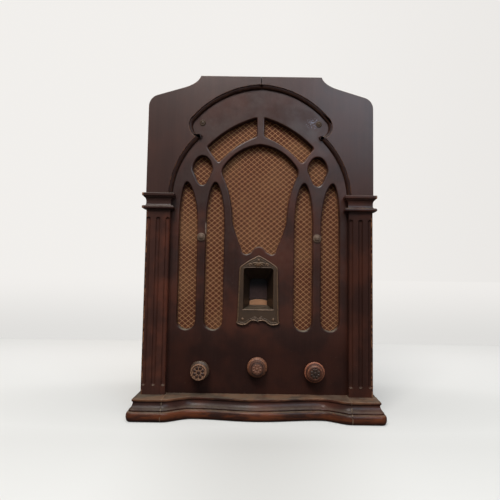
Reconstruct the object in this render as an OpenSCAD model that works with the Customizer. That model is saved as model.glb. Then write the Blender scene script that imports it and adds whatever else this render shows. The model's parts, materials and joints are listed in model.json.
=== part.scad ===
// Table radio receiver: an arched wooden cabinet with a fretwork front,
// an open back, a steel chassis with valves and a moving-coil loudspeaker.
// Millimetres. Origin under the middle of the base, front towards -Y, +Z up.

/* [Cabinet] */
// Width over the two side panels
cab_w = 300; // [296:1:380]
// Height from the table to the flat top
cab_h = 445; // [440:1:560]
// Depth from the front of the base to the back edges
depth = 240; // [236:1:320]
// Thickness of the side panels and the wrapped top
wall = 8; // [6:0.5:12]
// Thickness of the fretwork front board
board_t = 10; // [8:0.5:14]
// Thickness of the spandrel overlays
overlay_t = 6; // [5:0.5:9]
// Depth of the step along the arch's edge
arch_step = 1.5; // [1:0.25:2.5]
// Width of the ledge below that step
arch_ledge = 4.6; // [2:0.2:6]
// Half width of the flat stretch of the top
crown_half = 81; // [70:1:96]
// Radius of the shoulders
shoulder_r = 16; // [10:1:24]
// Height of the arch's spring line below the top
spring_drop = 161; // [158:1:168]
// Thickness of the bottom board
bottom_t = 12; // [8:1:16]

/* [Base] */
// Height of the base moulding
base_h = 26; // [22:1:34]
// How far the foot of the base stands ahead of the front board
base_reach = 44; // [42:1:50]
// How far the foot stands out past its ledge, in front
foot_out = 7; // [4:0.5:9]
// How far the foot stands out past its ledge, at the sides
foot_side = 6.5; // [5:0.1:8]
// How far the ledge stands out past the side panels
ledge_out = 2.2; // [1:0.2:4]
// Setback of the serpentine front's valleys behind its corner blocks
valley_in = 16.6; // [8:0.2:20]
// Setback of the serpentine front's middle bow
bow_in = 7.4; // [4:0.2:14]
// Half width of the stretch between the two valleys
valley_half = 80; // [70:1:90]

/* [Pilasters] */
// Width of a pilaster
pil_w = 30.5; // [26:0.5:36]
// How far a pilaster stands out from the board
pil_t = 11.4; // [9:0.2:14]
// Inset of a pilaster from the cabinet's side
pil_in = 2.9; // [1:0.1:5]
// Radius of the flutes
flute_r = 2.9; // [1.5:0.1:3.4]
// Height of a capital
cap_h = 22; // [18:1:26]

/* [Fretwork] */
// Width of the mullion between the two upper windows
mullion_w = 6.6; // [4:0.2:10]
// Rounding of the windows' front edges, by which their walls stand inside the outlines
window_lip = 1.8; // [0.5:0.1:2.5]
// Half width of a lancet window
lancet_r = 14; // [10:0.5:14.5]
// Height of the lower end of the lancets
lancet_z = 105; // [96:1:112]
// Offset of the inner lancets from the middle
lancet_in_x = 58.7; // [57:0.1:60]
// Offset of the outer lancets from the middle
lancet_out_x = 94.2; // [93:0.1:95]
// Half width of an egg-shaped window
egg_r = 15.3; // [12:0.1:16]
// Radius of the turned bosses on the mullions
boss_r = 5.5; // [4:0.1:6.5]
// Radius of the panel screw heads
screw_head_r = 4.2; // [3:0.1:5]

/* [Dial] */
// Half width of the escutcheon
esc_half = 27; // [25:0.5:30]
// Thickness of the escutcheon's plate
esc_t = 3; // [2:0.25:5]
// Half width of the dial window
dial_half = 19.5; // [16:0.5:21]
// Depth of the dial window's tunnel behind the board's back
tunnel_d = 14; // [12:0.5:16]
// Height of the dial's axis
dial_z = 112; // [110:0.5:114]
// Radius of the dial scale
scale_r = 34.5; // [34:0.5:39]

/* [Controls] */
// Height of the outer knobs
knob_z = 56; // [52:0.5:60]
// Height of the tuning knob
tune_z = 60.5; // [58:0.5:64]
// Offset of the outer knobs from the middle
knob_x = 73.4; // [60:0.2:90]
// Radius of a knob's skirt
knob_r = 13; // [10:0.5:16]
// How far a knob stands out from the board
knob_out = 19; // [14:0.5:24]
// Radius of the control shafts
shaft_r = 3.175; // [2.8:0.025:4]
// Radial running clearance of a shaft in its bush
run = 0.05; // [0.02:0.01:0.1]
// Radius of the tuning drive roller's groove
roller_r = 7.5; // [6.5:0.5:9]

/* [Chassis] */
// Height of the chassis
chassis_h = 60; // [56:1:70]
// Half width of the chassis
chassis_half = 125; // [122:1:132]
// Thickness of the chassis steel
steel = 1.2; // [0.8:0.1:2]
// Radius of a valve's glass bulb
bulb_r = 20; // [16:0.5:21]
// Height of a valve's glass bulb
bulb_h = 68; // [50:1:80]
// Radius of a smoothing condenser can
can_r = 17; // [12:0.5:17.5]
// Bore radius of the mains grommet
grommet_r = 3.5; // [2.5:0.1:5]

/* [Loudspeaker] */
// Radius of the loudspeaker's frame
speaker_r = 90; // [84:1:96]
// Radius of the field magnet's pot
pot_r = 40; // [34:1:44]
// Length of the field magnet's pot
pot_l = 62; // [50:1:70]

/* [Hidden] */
$fn = 64;
gap = 0.1;                           // assembly clearance between fixed pieces
y_back = depth / 2;                  // back edges of the cabinet
y_foot = -depth / 2;                 // front of the base's foot
y_face = y_foot + base_reach;        // front face of the fretwork board
y_rear = y_face + board_t;           // back face of the fretwork board
spring_z = cab_h - spring_drop;      // spring line: top of the capitals
shoulder_z = cab_h - 42.5;           // centre height of the shoulders
inner_half = cab_w / 2 - wall;       // half the space between the side panels
ledge_half = cab_w / 2 + ledge_out;
ledge_y = y_foot + foot_out;         // front of the ledge on the corner blocks
pil_x0 = cab_w / 2 - pil_in - pil_w; // inner edge of a pilaster
pil_x1 = cab_w / 2 - pil_in;         // outer edge of a pilaster
pil_mid = (pil_x0 + pil_x1) / 2;
floor_z = 8 + bottom_t;              // top of the bottom board
deck_z = floor_z + chassis_h;        // top of the chassis
cloth_t = 0.8;
baffle_t = 6;
y_baffle = y_rear + cloth_t + baffle_t;
chassis_front = y_baffle + 19.2;
chassis_back = y_back - 12;
tunnel_end = y_rear + tunnel_d;
scale_y = tunnel_end + 1;            // front of the dial scale
scale_t = 0.8;
disc_y = scale_y + 3.4;              // front of the drive disc
disc_t = 1.2;
drive_gap = 0.3;                     // between the drive disc's rim and the groove
drive_r = dial_z - tune_z - roller_r - drive_gap;
gang_y = chassis_front + 10;         // front of the tuning condenser
gang_l = 90;
gang_end = gang_y + gang_l;
gang_half = 30;
vane_r = 24.5;
speaker_z = spring_z + 8;
throat_y = y_baffle + 52;            // back plate of the loudspeaker frame
front_row = chassis_front + 28;      // valve rows on the chassis
back_row = chassis_back - 24;
mid_row = (front_row + back_row) / 2;
socket_r = 18.5;
socket_h = 4;
valve_base_h = 26;
shield_r = max(bulb_r + 1.6, socket_r + 0.4); // clears both the bulb and the socket

// Where each valve stands: the first three wear shield cans
VALVES = [
    [-100, front_row], [-100, mid_row], [-100, back_row],
    [-54, back_row], [-8, back_row], [38, back_row], [100, front_row]
];
SHIELDED = 3;
// Where the intermediate-frequency cans and the smoothing condensers stand
IF_CANS = [[-55, front_row], [-55, mid_row - 2]];
can_x = gang_half + can_r + 0.5;
SMOOTHERS = [[can_x, front_row - 4], [can_x, front_row - 1 + 2 * can_r]];
// Middle of the mains transformer
MAINS = [chassis_half - 31, back_row - 34];
// Chassis fixing bolts
BOLTS = [for (x = [-1, 1], y = [chassis_front + 14, chassis_back - 14])
    [x * (chassis_half - 10), y]];

// Points of a circular arc, in degrees
function at(c, r, a) = c + r * [cos(a), sin(a)];
function arc(c, r, a0, a1, n) = [for (i = [0:n]) at(c, r, a0 + (a1 - a0) * i / n)];
// Points of a curve from p to r that is pulled towards q
function curve(p, q, r, n) = [for (i = [0:n]) let (t = i / n)
    (1 - t) * (1 - t) * p + 2 * t * (1 - t) * q + t * t * r];
// Points mirrored to the other side, in reverse order
function flip(pts) = [for (i = [len(pts) - 1:-1:0]) [-pts[i].x, pts[i].y]];
// Outline without points that coincide with the next one
function tidy(p) = [for (i = [0:len(p) - 1])
    if (norm(p[i] - p[(i + 1) % len(p)]) > 0.02) p[i]];

// A flat shape drawn in X and Z, made solid from y0 over a thickness t
module upright(y0, t) {
    translate([0, y0 + t, 0]) rotate([90, 0, 0]) linear_extrude(t) children();
}
// A round bar along Y
module bar(x, z, r, y0, y1) {
    translate([x, y1, z]) rotate([90, 0, 0]) cylinder(r = r, h = y1 - y0);
}
// A profile of [radius, distance forwards] turned about a Y axis
module turned(x, y, z, profile) {
    translate([x, y, z]) rotate([90, 0, 0]) rotate_extrude() polygon(profile);
}
// A box from one corner to the other
module block(p, q) {
    translate(p) cube(q - p);
}
// A closed solid through level rings of equally many points, lowest first. Rings that
// bend inwards need fans: faces that each spread from their first point.
module ring_stack(rings, fans = undef) {
    n = len(rings[0]);
    m = len(rings);
    floor_faces = is_undef(fans) ? [[for (i = [0:n - 1]) i]] : fans;
    polyhedron(
        points = [for (ring = rings) each ring],
        faces = concat(
            floor_faces,
            [for (k = [0:m - 2], i = [0:n - 1]) let (j = (i + 1) % n)
                [k * n + i, (k + 1) * n + i, (k + 1) * n + j, k * n + j]],
            [for (f = floor_faces) [for (i = [len(f):-1:1]) (m - 1) * n + f[i % len(f)]]]));
}
// A tube swept along a route; ref is never parallel to the route
module tube(route, r, ref) {
    n = 8;
    m = len(route);
    function heading(i) = let (a = route[max(i - 1, 0)], b = route[min(i + 1, m - 1)])
        (b - a) / norm(b - a);
    rings = [for (i = [0:m - 1])
        let (t = heading(i), u = cross(t, ref) / norm(cross(t, ref)), v = cross(t, u))
        [for (k = [0:n - 1]) route[i] + r * (cos(360 * k / n) * u + sin(360 * k / n) * v)]];
    polyhedron(
        points = [for (ring = rings) each ring],
        faces = concat(
            [[for (i = [0:n - 1]) i]],
            [for (k = [0:m - 2], i = [0:n - 1]) let (j = (i + 1) % n)
                [k * n + i, (k + 1) * n + i, (k + 1) * n + j, k * n + j]],
            [[for (i = [n - 1:-1:0]) (m - 1) * n + i]]));
}
// Right half of the cabinet's outline above the shoulders, inset by d
function shoulder_turn(slope_end, c) = let (v = slope_end - c)
    atan2(v.y, v.x) - acos(shoulder_r / norm(v));
function crown_points(d) = let (
    c = [cab_w / 2 - shoulder_r, shoulder_z],
    slope_end = [crown_half + 21, cab_h - 16],
    a = shoulder_turn(slope_end, c),
    pull = [crown_half + 3.2, cab_h - 10.2])
    concat(
        arc(c, shoulder_r - d, 0, a, 8),
        curve(slope_end - d * [cos(a), sin(a)], pull - d * [0.9, 0.9],
              [crown_half - d, cab_h - d], 6));
// Full outline of the front from height z0 to the top
function front_outline(z0) = tidy(concat(
    [[cab_w / 2, z0]], crown_points(0), flip(crown_points(0)), [[-cab_w / 2, z0]]));

// The arch between the spandrels, widened by d, on the spring line
arch_low = [0, -6.5];
arch_low_r = 120.8;
lobe = [77.7, 93.2];
lobe_r = 17.8;
arch_top = [6, 23.7];
arch_top_r = 126.3;
arch_join = 107;
join_fall = 0.72;                    // how much lower the arcs meet per millimetre that they are drawn in
module arch(d) {
    $fn = 180;
    join = arch_join + join_fall * d;
    translate([0, spring_z]) {
        translate(arch_low) circle(arch_low_r + d);
        for (s = [-1, 1]) translate([s * lobe.x, lobe.y]) circle(lobe_r + d, $fn = 72);
        translate([-lobe.x, join - 47]) square([2 * lobe.x, 47]);
        intersection() {
            translate([-arch_top.x, arch_top.y]) circle(arch_top_r + d);
            translate(arch_top) circle(arch_top_r + d);
            translate([-cab_w / 2, join]) square([cab_w, spring_drop - join]);
        }
    }
}

// Outlines of the right-hand windows, measured from the spring line
wedge_top = [-35.5, -33.9];
wedge_top_r = 147.7;
wedge_low = [-34.2, -25.5];
wedge_low_r = 111.3;
function wedge_points() = let (x0 = mullion_w / 2) tidy(concat(
    arc(wedge_top, wedge_top_r, 72.9, 45, 10),
    curve(at(wedge_top, wedge_top_r, 45), [74.5, 66], [71.5, 62.3], 4),
    curve([61, 47], [56, 40], at(wedge_low, wedge_low_r, 40.4), 4),
    arc(wedge_low, wedge_low_r, 40.4, 68.3, 8),
    curve(at(wedge_low, wedge_low_r, 68.3), [x0, 79.3], [x0, 83], 3),
    curve([x0, 104.5], [x0, 108.8], at(wedge_top, wedge_top_r, 72.9), 3)));
heart_top = [-7.1, 4.1];
heart_top_r = 67.5;
heart_side = [185.1, -34.9];
heart_side_r = 147.2;
heart_low = [-222.4, 37.1];
heart_low_r = 270.2;
heart_lobe = [17, -71.8];
heart_lobe_r = 8;
function heart_half() = concat(
    arc(heart_top, heart_top_r, 83.9, 36.7, 9),
    curve(at(heart_top, heart_top_r, 36.7), [54.5, 36], at(heart_side, heart_side_r, 154.5), 5),
    arc(heart_side, heart_side_r, 154.5, 180, 6),
    arc(heart_low, heart_low_r, -15.9, -23.4, 3),
    arc(heart_lobe, heart_lobe_r, -16, -125, 8),
    curve(at(heart_lobe, heart_lobe_r, -125), [9.2, -78.2], [6, -72.9], 4),
    curve([6, -72.9], [4, -69.4], [0.1, -69.4], 3));
function heart_points() = tidy(concat(heart_half(), flip(heart_half())));
egg_at = [77, 35];
egg_up = 20;
egg_down = 23;
// Right half of an egg: a round head, straight flanks and a round foot
function egg_half() = let (r = egg_r) concat(
    curve([0, -egg_down], [0.34 * r, -egg_down], [0.54 * r, 0.73 * -egg_down], 4),
    curve([r, -0.5], [0.94 * r, 0.48 * egg_up], [0.6 * r, 0.78 * egg_up], 4),
    curve([0.6 * r, 0.78 * egg_up], [0.33 * r, egg_up], [0, egg_up], 4));
function egg_points() = tidy([for (p = concat(egg_half(), flip(egg_half()))) egg_at + p]);
// Lancet: round foot, straight sides and a half-ellipse that may lean
lancet_rise = 61;
lancet_top = 19.3;
function lancet_points(x, lean) = let (zs = spring_z + lancet_top - lancet_rise)
    tidy(concat(
        [for (a = [0:10:180]) [x + lancet_r * cos(a) + lean * sin(a) * sin(a),
                               zs + lancet_rise * sin(a)]],
        arc([x, lancet_z + lancet_r], lancet_r, 180, 360, 14)));
module window_shapes() {
    translate([0, spring_z]) polygon(heart_points());
    for (s = [-1, 1]) scale([s, 1]) {
        translate([0, spring_z]) polygon(wedge_points());
        translate([0, spring_z]) polygon(egg_points());
        polygon(lancet_points(lancet_in_x, 0.6));
        polygon(lancet_points(lancet_out_x, 3));
    }
}
// The walls stand inside those outlines by the rounding of their front edges
module windows() {
    offset(delta = -window_lip) window_shapes();
}

module front_board() {
    color("#3a2a26") difference() {
        upright(y_face, board_t) difference() {
            polygon(front_outline(0));
            windows();
            translate([-tunnel_cut_half, tunnel_cut_z0])
                square([2 * tunnel_cut_half, tunnel_cut_z1 - tunnel_cut_z0]);
        }
        for (x = [-knob_x, knob_x]) bar(x, knob_z, shaft_r + 2, y_face - 1, y_rear + 1);
        bar(0, tune_z, shaft_r + 2, y_face - 1, y_rear + 1);
    }
}

module spandrel(side) {
    back_t = overlay_t - arch_step;
    color("#4a3c36") scale([side, 1, 1]) intersection() {
        union() {
            upright(y_face - back_t, back_t) difference() {
                polygon(front_outline(spring_z));
                arch(-arch_ledge);
            }
            upright(y_face - overlay_t, arch_step) difference() {
                polygon(front_outline(spring_z));
                arch(0);
            }
        }
        block([gap, y_face - overlay_t - 1, spring_z], [cab_w, y_face, cab_h + 1]);
    }
}
module spandrel_left() { spandrel(-1); }
module spandrel_right() { spandrel(1); }

flute_low = 14;                      // plain foot of a pilaster below its flutes
flute_high = 12;                     // plain neck above them
flute_past = 0.15;                   // how far an outer flute runs past the pilaster's side
flute_pitch = pil_w / 2 - flute_r + flute_past;
module flute(x) {
    z0 = base_h + flute_low;
    z1 = spring_z - cap_h - flute_high;
    translate([x, y_face - pil_t - 0.4, z0]) cylinder(r = flute_r, h = z1 - z0);
    translate([x, y_face - pil_t - 0.4, z0]) sphere(flute_r);
    translate([x, y_face - pil_t - 0.4, z1]) sphere(flute_r);
}
module pilaster(side) {
    color("#3e2b27") scale([side, 1, 1]) difference() {
        block([pil_x0, y_face - pil_t, base_h], [pil_x1, y_face, spring_z - cap_h]);
        for (k = [-1:1]) flute(pil_mid + k * flute_pitch);
    }
}
module pilaster_left() { pilaster(-1); }
module pilaster_right() { pilaster(1); }

// Capital profile: how far it stands out, at which share of its height
CAPITAL = [[0, 0], [0.5, 0.03], [4.2, 0.07], [5, 0.14], [4.2, 0.22], [1.6, 0.25],
    [0.8, 0.34], [0.8, 0.55], [1.8, 0.68], [3.6, 0.755], [3.6, 0.79],
    [5.4, 0.83], [5.4, 0.965], [4.9, 1]];
module capital(side) {
    z0 = spring_z - cap_h;
    // the corners run anticlockwise on either side
    function ring(o, z) = let (
        a = side * (side > 0 ? pil_x0 : pil_x1) - o,
        b = side * (side > 0 ? pil_x1 : pil_x0) + o)
        [[a, y_face - pil_t - o, z], [b, y_face - pil_t - o, z], [b, y_face, z], [a, y_face, z]];
    color("#42302b") ring_stack([for (p = CAPITAL) ring(p[0], z0 + p[1] * cap_h)]);
}
module capital_left() { capital(-1); }
module capital_right() { capital(1); }

// Base profile: share of the foot's reach past the ledge, share of the height
BASE = [[0.36, 0], [0.66, 0.025], [0.87, 0.09], [0.98, 0.17], [1, 0.25], [0.97, 0.33],
    [0.86, 0.4], [0.68, 0.445], [0.44, 0.47], [0.38, 0.49], [0.54, 0.51], [0.52, 0.54],
    [0.38, 0.6], [0.18, 0.66], [-0.04, 0.72], [-0.18, 0.79], [-0.2, 0.86], [-0.1, 0.89],
    [0, 0.91], [0.03, 0.95], [0, 1]];
block_half = pil_x0 - 0.6;           // inner end of the straight corner blocks
function smooth(t) = t * t * (3 - 2 * t);
// How far the serpentine front lies behind its corner blocks
function serpentine(x) = let (ax = abs(x))
    ax >= block_half ? 0 :
    ax >= valley_half ? valley_in * smooth((block_half - ax) / (block_half - valley_half)) :
    valley_in + (bow_in - valley_in) * (0.5 + 0.5 * cos(180 * ax / valley_half));
FRONT_X = concat([for (i = [0:10]) block_half + (valley_half - block_half) * i / 10],
    [for (i = [1:11]) valley_half * (1 - i / 12)]);
// A level ring of the base: from the left end round the front, then back along the board
function base_ring(o, z) = let (
    half = ledge_half + o * foot_side,
    left = concat([[-half, y_face, z], [-half, ledge_y - o * foot_out, z]],
        [for (x = FRONT_X) [-x, ledge_y + serpentine(x) - o * foot_out, z]]))
    concat(left, [[0, ledge_y + bow_in - o * foot_out, z]],
        [for (i = [len(left) - 1:-1:0]) [-left[i].x, left[i].y, z]],
        [for (k = [1:-1:-1]) [k * block_half, y_face, z]]);
valley = 12;                         // place in the ring of its deepest points
ring_end = 2 * len(FRONT_X) + 4;
BASE_FANS = [concat([ring_end + 3], [for (i = [0:valley]) i]),
    [ring_end + 2, ring_end + 3, valley],
    concat([ring_end + 2], [for (i = [valley:ring_end - valley]) i]),
    [ring_end + 1, ring_end + 2, ring_end - valley],
    concat([ring_end + 1], [for (i = [ring_end - valley:ring_end]) i])];
module base_front() {
    color("#4b2a1c")
        ring_stack([for (p = BASE) base_ring(p[0], p[1] * base_h)], BASE_FANS);
}
module base_side(side) {
    profile = concat([[0, 0]],
        [for (p = BASE) [ledge_out + p[0] * foot_side, p[1] * base_h]], [[0, base_h]]);
    color("#4b2a1c") scale([side, 1, 1]) translate([cab_w / 2, y_face, 0])
        rotate([90, 0, 0]) translate([0, 0, y_face - y_back]) linear_extrude(y_back - y_face)
            polygon(profile);
}
module base_side_left() { base_side(-1); }
module base_side_right() { base_side(1); }

module side_panel(side) {
    color("#3d2c27") scale([side, 1, 1])
        block([inner_half, y_rear, 0], [cab_w / 2, y_back, shoulder_z]);
}
module side_left() { side_panel(-1); }
module side_right() { side_panel(1); }

module top_wrap() {
    color("#40302b") upright(y_rear, y_back - y_rear) polygon(tidy(concat(
        crown_points(0), flip(crown_points(0)),
        [for (p = crown_points(wall)) [-p.x, p.y]],
        [for (p = flip(crown_points(wall))) [-p.x, p.y]])));
}
module bottom_board() {
    color("#6b4a32") difference() {
        block([-inner_half, y_rear, floor_z - bottom_t], [inner_half, y_back, floor_z]);
        for (b = BOLTS) translate([b.x, b.y, 0]) cylinder(r = 2.6, h = cab_h);
    }
}
glue = 12;
GLUE_Z = [[floor_z + 8, 96], [124, 196], [226, spring_z + 20], [spring_z + 40, shoulder_z - 8]];
module glue_blocks() {
    color("#7a5838") for (s = [-1, 1], z = GLUE_Z) scale([s, 1, 1])
        translate([inner_half, y_rear, z[0]]) linear_extrude(z[1] - z[0])
            polygon([[0, 0], [0, glue], [-glue, 0]]);
}
module mullion_bosses() {
    color("#5b4630") for (s = [-1, 1])
        turned(s * (lancet_in_x + lancet_out_x) / 2, y_face, spring_z - 56, [
            [0, 0], [boss_r, 0], [boss_r, 1.2], [boss_r - 0.7, 2], [boss_r - 1.6, 2.2],
            [boss_r - 1.9, 3.1], [boss_r - 2.8, 4.2], [boss_r - 4, 4.8], [0, 5]]);
}
screw_x = 78;
screw_up = 98;
module panel_screws() {
    color("#5d5238") for (s = [-1, 1]) difference() {
        turned(s * screw_x, y_face, spring_z + screw_up, [
            [0, 0], [screw_head_r, 0], [screw_head_r, 0.5], [screw_head_r - 0.9, 1.6],
            [screw_head_r - 1.2, 1.1], [2.2, 1.5], [0, 1.9]]);
        translate([s * screw_x, y_face - 1.6, spring_z + screw_up])
            rotate([0, 35 * s, 0]) cube([5, 1, 0.7], center = true);
    }
}

cloth_half = lancet_out_x + lancet_r + 8;
cloth_z0 = lancet_z - 9;
cloth_z1 = spring_z + 112;
module behind_board(y0, t) {
    upright(y0, t) difference() {
        translate([-cloth_half, cloth_z0]) square([2 * cloth_half, cloth_z1 - cloth_z0]);
        translate([-tunnel_cut_half, tunnel_cut_z0])
            square([2 * tunnel_cut_half, tunnel_cut_z1 - tunnel_cut_z0]);
        children();
    }
}
module grille_cloth() {
    color("#8a5a34") behind_board(y_rear, cloth_t) {}
}
module baffle_board() {
    color("#5a4432") behind_board(y_rear + cloth_t, baffle_t)
        translate([0, speaker_z]) circle(speaker_r - 14);
}

// Escutcheon, measured from the lowest point of its plate
esc_z = 113.7;
esc_peak = 90.8;
esc_brow = 77.5;
brow_half = esc_half - 1.8;
window_z0 = 21;
window_z1 = 75;
sill_rise = 4.3;                     // from the front of the tunnel's floor to its back
tunnel_wall = 1.5;
tunnel_cut_half = dial_half + tunnel_wall + 0.5;
tunnel_cut_z0 = esc_z + window_z0 - tunnel_wall - 0.5;
tunnel_cut_z1 = esc_z + window_z1 + tunnel_wall + 0.5;
function esc_half_points() = concat(
    curve([0, esc_peak], [brow_half / 2, esc_brow + 7.5], [brow_half - 3, esc_brow], 3),
    curve([brow_half - 3, esc_brow], [brow_half, esc_brow - 1.8], [brow_half, esc_brow - 6], 3),
    curve([esc_half, 8], [esc_half, 5], [esc_half + 1.2, 4.2], 2),
    curve([esc_half + 1.2, 4.2], [esc_half + 1, 1.2], [esc_half - 4, 0.3], 3),
    curve([esc_half - 4, 0.3], [esc_half - 11, -1], [esc_half - 15, 3.2], 4),
    curve([esc_half - 15, 3.2], [esc_half - 19, 6.8], [esc_half - 22, 5.8], 3),
    [[2, 5.4], [0.2, 3.8]]);
function esc_points() = tidy(concat(esc_half_points(), flip(esc_half_points())));
module tunnel(grow) {
    y0 = y_face - esc_t - 1;
    hull() {
        block([-dial_half - grow, y0, esc_z + window_z0 - grow],
              [dial_half + grow, y0 + esc_t + 2, esc_z + window_z1 + grow]);
        block([-back_half - grow, tunnel_end - 0.5, esc_z + window_z0 + sill_rise - grow],
              [back_half + grow, tunnel_end + (grow > 0 ? 0 : 1), esc_z + 60 + grow]);
    }
}
back_half = 11.4;
module escutcheon() {
    color("#4a3e2c") difference() {
        union() {
            upright(y_face - esc_t, esc_t) translate([0, esc_z]) polygon(esc_points());
            intersection() {
                tunnel(tunnel_wall);
                block([-esc_half, y_face - 0.5, 0], [esc_half, tunnel_end, cab_h]);
            }
        }
        tunnel(0);
        for (p = ESC_PINS) bar(p.x, p.y, 1.3, y_face - esc_t - 1, y_face + 1);
    }
}
ESC_PINS = [[0, esc_z + 84.5], [-20, esc_z + 7.8], [20, esc_z + 7.8]];
module escutcheon_pins() {
    color("#2e261c") for (p = ESC_PINS) {
        bar(p.x, p.y, 1.2, y_face - esc_t, y_face);
        turned(p.x, y_face - esc_t, p.y, [[0, 0], [1.9, 0], [1.7, 0.5], [1, 0.9], [0, 1]]);
    }
}

module dial_scale() {
    color("#b08550") difference() {
        bar(0, dial_z, scale_r, scale_y, scale_y + scale_t);
        bar(0, dial_z, shaft_r + run, scale_y - 1, scale_y + scale_t + 1);
    }
}
hub_r = 6;                           // core of the hub, through the drive disc
module drive_disc() {
    color("#9a9486") difference() {
        bar(0, dial_z, drive_r, disc_y, disc_y + disc_t);
        bar(0, dial_z, hub_r + run, disc_y - 1, disc_y + disc_t + 1);
    }
}
module dial_hub() {
    color("#b09a5e") difference() {
        union() {
            bar(0, dial_z, hub_r + 3, scale_y + scale_t, disc_y);
            bar(0, dial_z, hub_r, disc_y, disc_y + disc_t + 5);
        }
        bar(0, dial_z, shaft_r + run, scale_y, disc_y + disc_t + 6);
    }
}
mask_half = 16;
mask_top = esc_z + 80;
module dial_mask() {
    color("#30343c") {
        difference() {
            block([-mask_half, scale_y, dial_z + 30], [mask_half, scale_y + scale_t, mask_top]);
            bar(0, dial_z, scale_r + 1, scale_y - 1, scale_y + scale_t + 1);
        }
        block([-mask_half, y_baffle, mask_top], [mask_half, scale_y + scale_t, mask_top + 1.2]);
        block([-mask_half, y_baffle, mask_top + 1.2], [mask_half, y_baffle + 1.2, mask_top + 8]);
    }
}
lamp_y = (y_baffle + scale_y) / 2;
module lamp_holder() {
    color("#a89258") translate([0, lamp_y, mask_top - 4]) difference() {
        cylinder(r = 3.4, h = 4);
        translate([0, 0, -1]) cylinder(r = 2.2, h = 4);
    }
}
module pilot_lamp() {
    color("#f2e6c0") translate([0, lamp_y, mask_top - 4]) rotate([180, 0, 0]) rotate_extrude()
        polygon([[0, -2.8], [2.1, -2.8], [2.1, 0], [3, 1], [3.2, 3], [2.6, 4.8], [1.4, 6], [0, 6.4]]);
}

// A turned knob: skirt, waist, front disc and a petal rosette
knob_gap = 2.5;                      // between the board and the skirt
function knob_profile() = let (l = knob_out - knob_gap) [
    [0, 0], [knob_r - 1, 0], [knob_r, 0.8], [knob_r, 3.6], [knob_r - 0.9, 5],
    [knob_r - 2.4, 5.6], [knob_r - 3.6, 6.6], [knob_r - 4, 9], [knob_r - 3.4, l - 4.6],
    [knob_r - 3.3, l - 2.6], [knob_r - 4, l - 1.6], [knob_r - 5.2, l - 1.5],
    [knob_r - 5.8, l - 1], [knob_r - 8, l - 0.2], [0, l]];
shaft_in = 11;                       // depth of a knob's bore
module knob(x, z, out) {
    color("#6e4c3a") difference() {
        turned(x, y_face - knob_gap - out, z, knob_profile());
        bar(x, z, shaft_r + run, y_face - knob_gap - out - shaft_in, y_face);
        // grip notches round the front disc
        for (k = [0:15]) translate([x, y_face - knob_out - out, z]) rotate([0, k * 22.5, 0])
            translate([knob_r - 3, 3, 0]) rotate([90, 0, 0]) cylinder(r = 0.7, h = 8, center = true);
    }
}
pulled = 2.5;                        // the volume knob stands this much prouder
module knob_volume() { knob(-knob_x, knob_z, pulled); }
module knob_tuning() { knob(0, tune_z, 0); }
module knob_tone() { knob(knob_x, knob_z, 0); }
shaft_front = y_face - knob_gap - shaft_in;
control_y = chassis_front + steel;   // back of the chassis apron
module volume_shaft() {
    color("#a8a296") bar(-knob_x, knob_z, shaft_r, shaft_front - pulled, control_y + 8);
}
module tone_shaft() {
    color("#a8a296") bar(knob_x, knob_z, shaft_r, shaft_front, control_y + 8);
}
module tuning_shaft() {
    color("#a8a296") bar(0, tune_z, shaft_r, shaft_front, control_y + 14);
}
roller_w = 2.6;                      // thickness of each roller flange
module drive_roller() {
    y0 = disc_y - 0.3 - roller_w;
    y1 = disc_y + disc_t + 0.3 + roller_w;
    color("#b09a5e") difference() {
        union() {
            bar(0, tune_z, roller_r, y0, y1);
            bar(0, tune_z, roller_r + 2.5, y0, y0 + roller_w);
            bar(0, tune_z, roller_r + 2.5, y1 - roller_w, y1);
        }
        bar(0, tune_z, shaft_r + run, y0 - 1, y1 + 1);
    }
}
bush_r = shaft_r + 1.6;
module bush_and_nut(x, z, y1) {
    bar(x, z, bush_r, chassis_front - 7, y1);
    translate([x, chassis_front, z]) rotate([90, 0, 0]) cylinder(r = bush_r + 3, h = 2.2, $fn = 6);
}
module control(x) {
    difference() {
        union() {
            bush_and_nut(x, knob_z, control_y);
            bar(x, knob_z, 18, control_y, control_y + 13);
        }
        bar(x, knob_z, shaft_r + run, chassis_front - 8, control_y + 10);
    }
}
module volume_control() { color("#4b4640") control(-knob_x); }
module tone_control() { color("#4b4640") control(knob_x); }
module tuning_bush() {
    color("#b09a5e") difference() {
        union() {
            bar(0, tune_z, bush_r, chassis_front, control_y + 10);
            bar(0, tune_z, bush_r + 3, control_y, control_y + 2.5);
        }
        bar(0, tune_z, shaft_r + run, chassis_front - 1, control_y + 11);
    }
}

gang_top = dial_z + 30;
plate_t = 1.6;
GANGS = [for (g = [0:2]) gang_y + 6 + g * 27.5];
vane_pitch = 3.2;
vane_t = 0.8;
VANES = 7;
rod_x = -vane_r - 3;
module condenser_frame() {
    color("#8d8a80") difference() {
        union() {
            block([-gang_half, gang_y, deck_z], [gang_half, gang_y + plate_t, gang_top]);
            block([-gang_half, gang_end - plate_t, deck_z], [gang_half, gang_end, gang_top]);
            block([-gang_half, gang_y, deck_z], [gang_half, gang_end, deck_z + plate_t]);
            for (x = [gang_half - 2, -gang_half]) block([x, gang_y, gang_top - 4],
                [x + 2, gang_end, gang_top]);
            // a low web and one post between the gangs
            for (g = [1, 2]) {
                block([-gang_half + 1, GANGS[g] - 4, deck_z],
                      [gang_half - 0.5, GANGS[g] - 3, dial_z - vane_r - 1]);
                block([vane_r + 2, GANGS[g] - 4, deck_z],
                      [gang_half - 0.5, GANGS[g] - 3, gang_top - 1]);
            }
        }
        bar(0, dial_z, shaft_r + run, gang_y - 1, gang_end + 1);
    }
}
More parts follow.
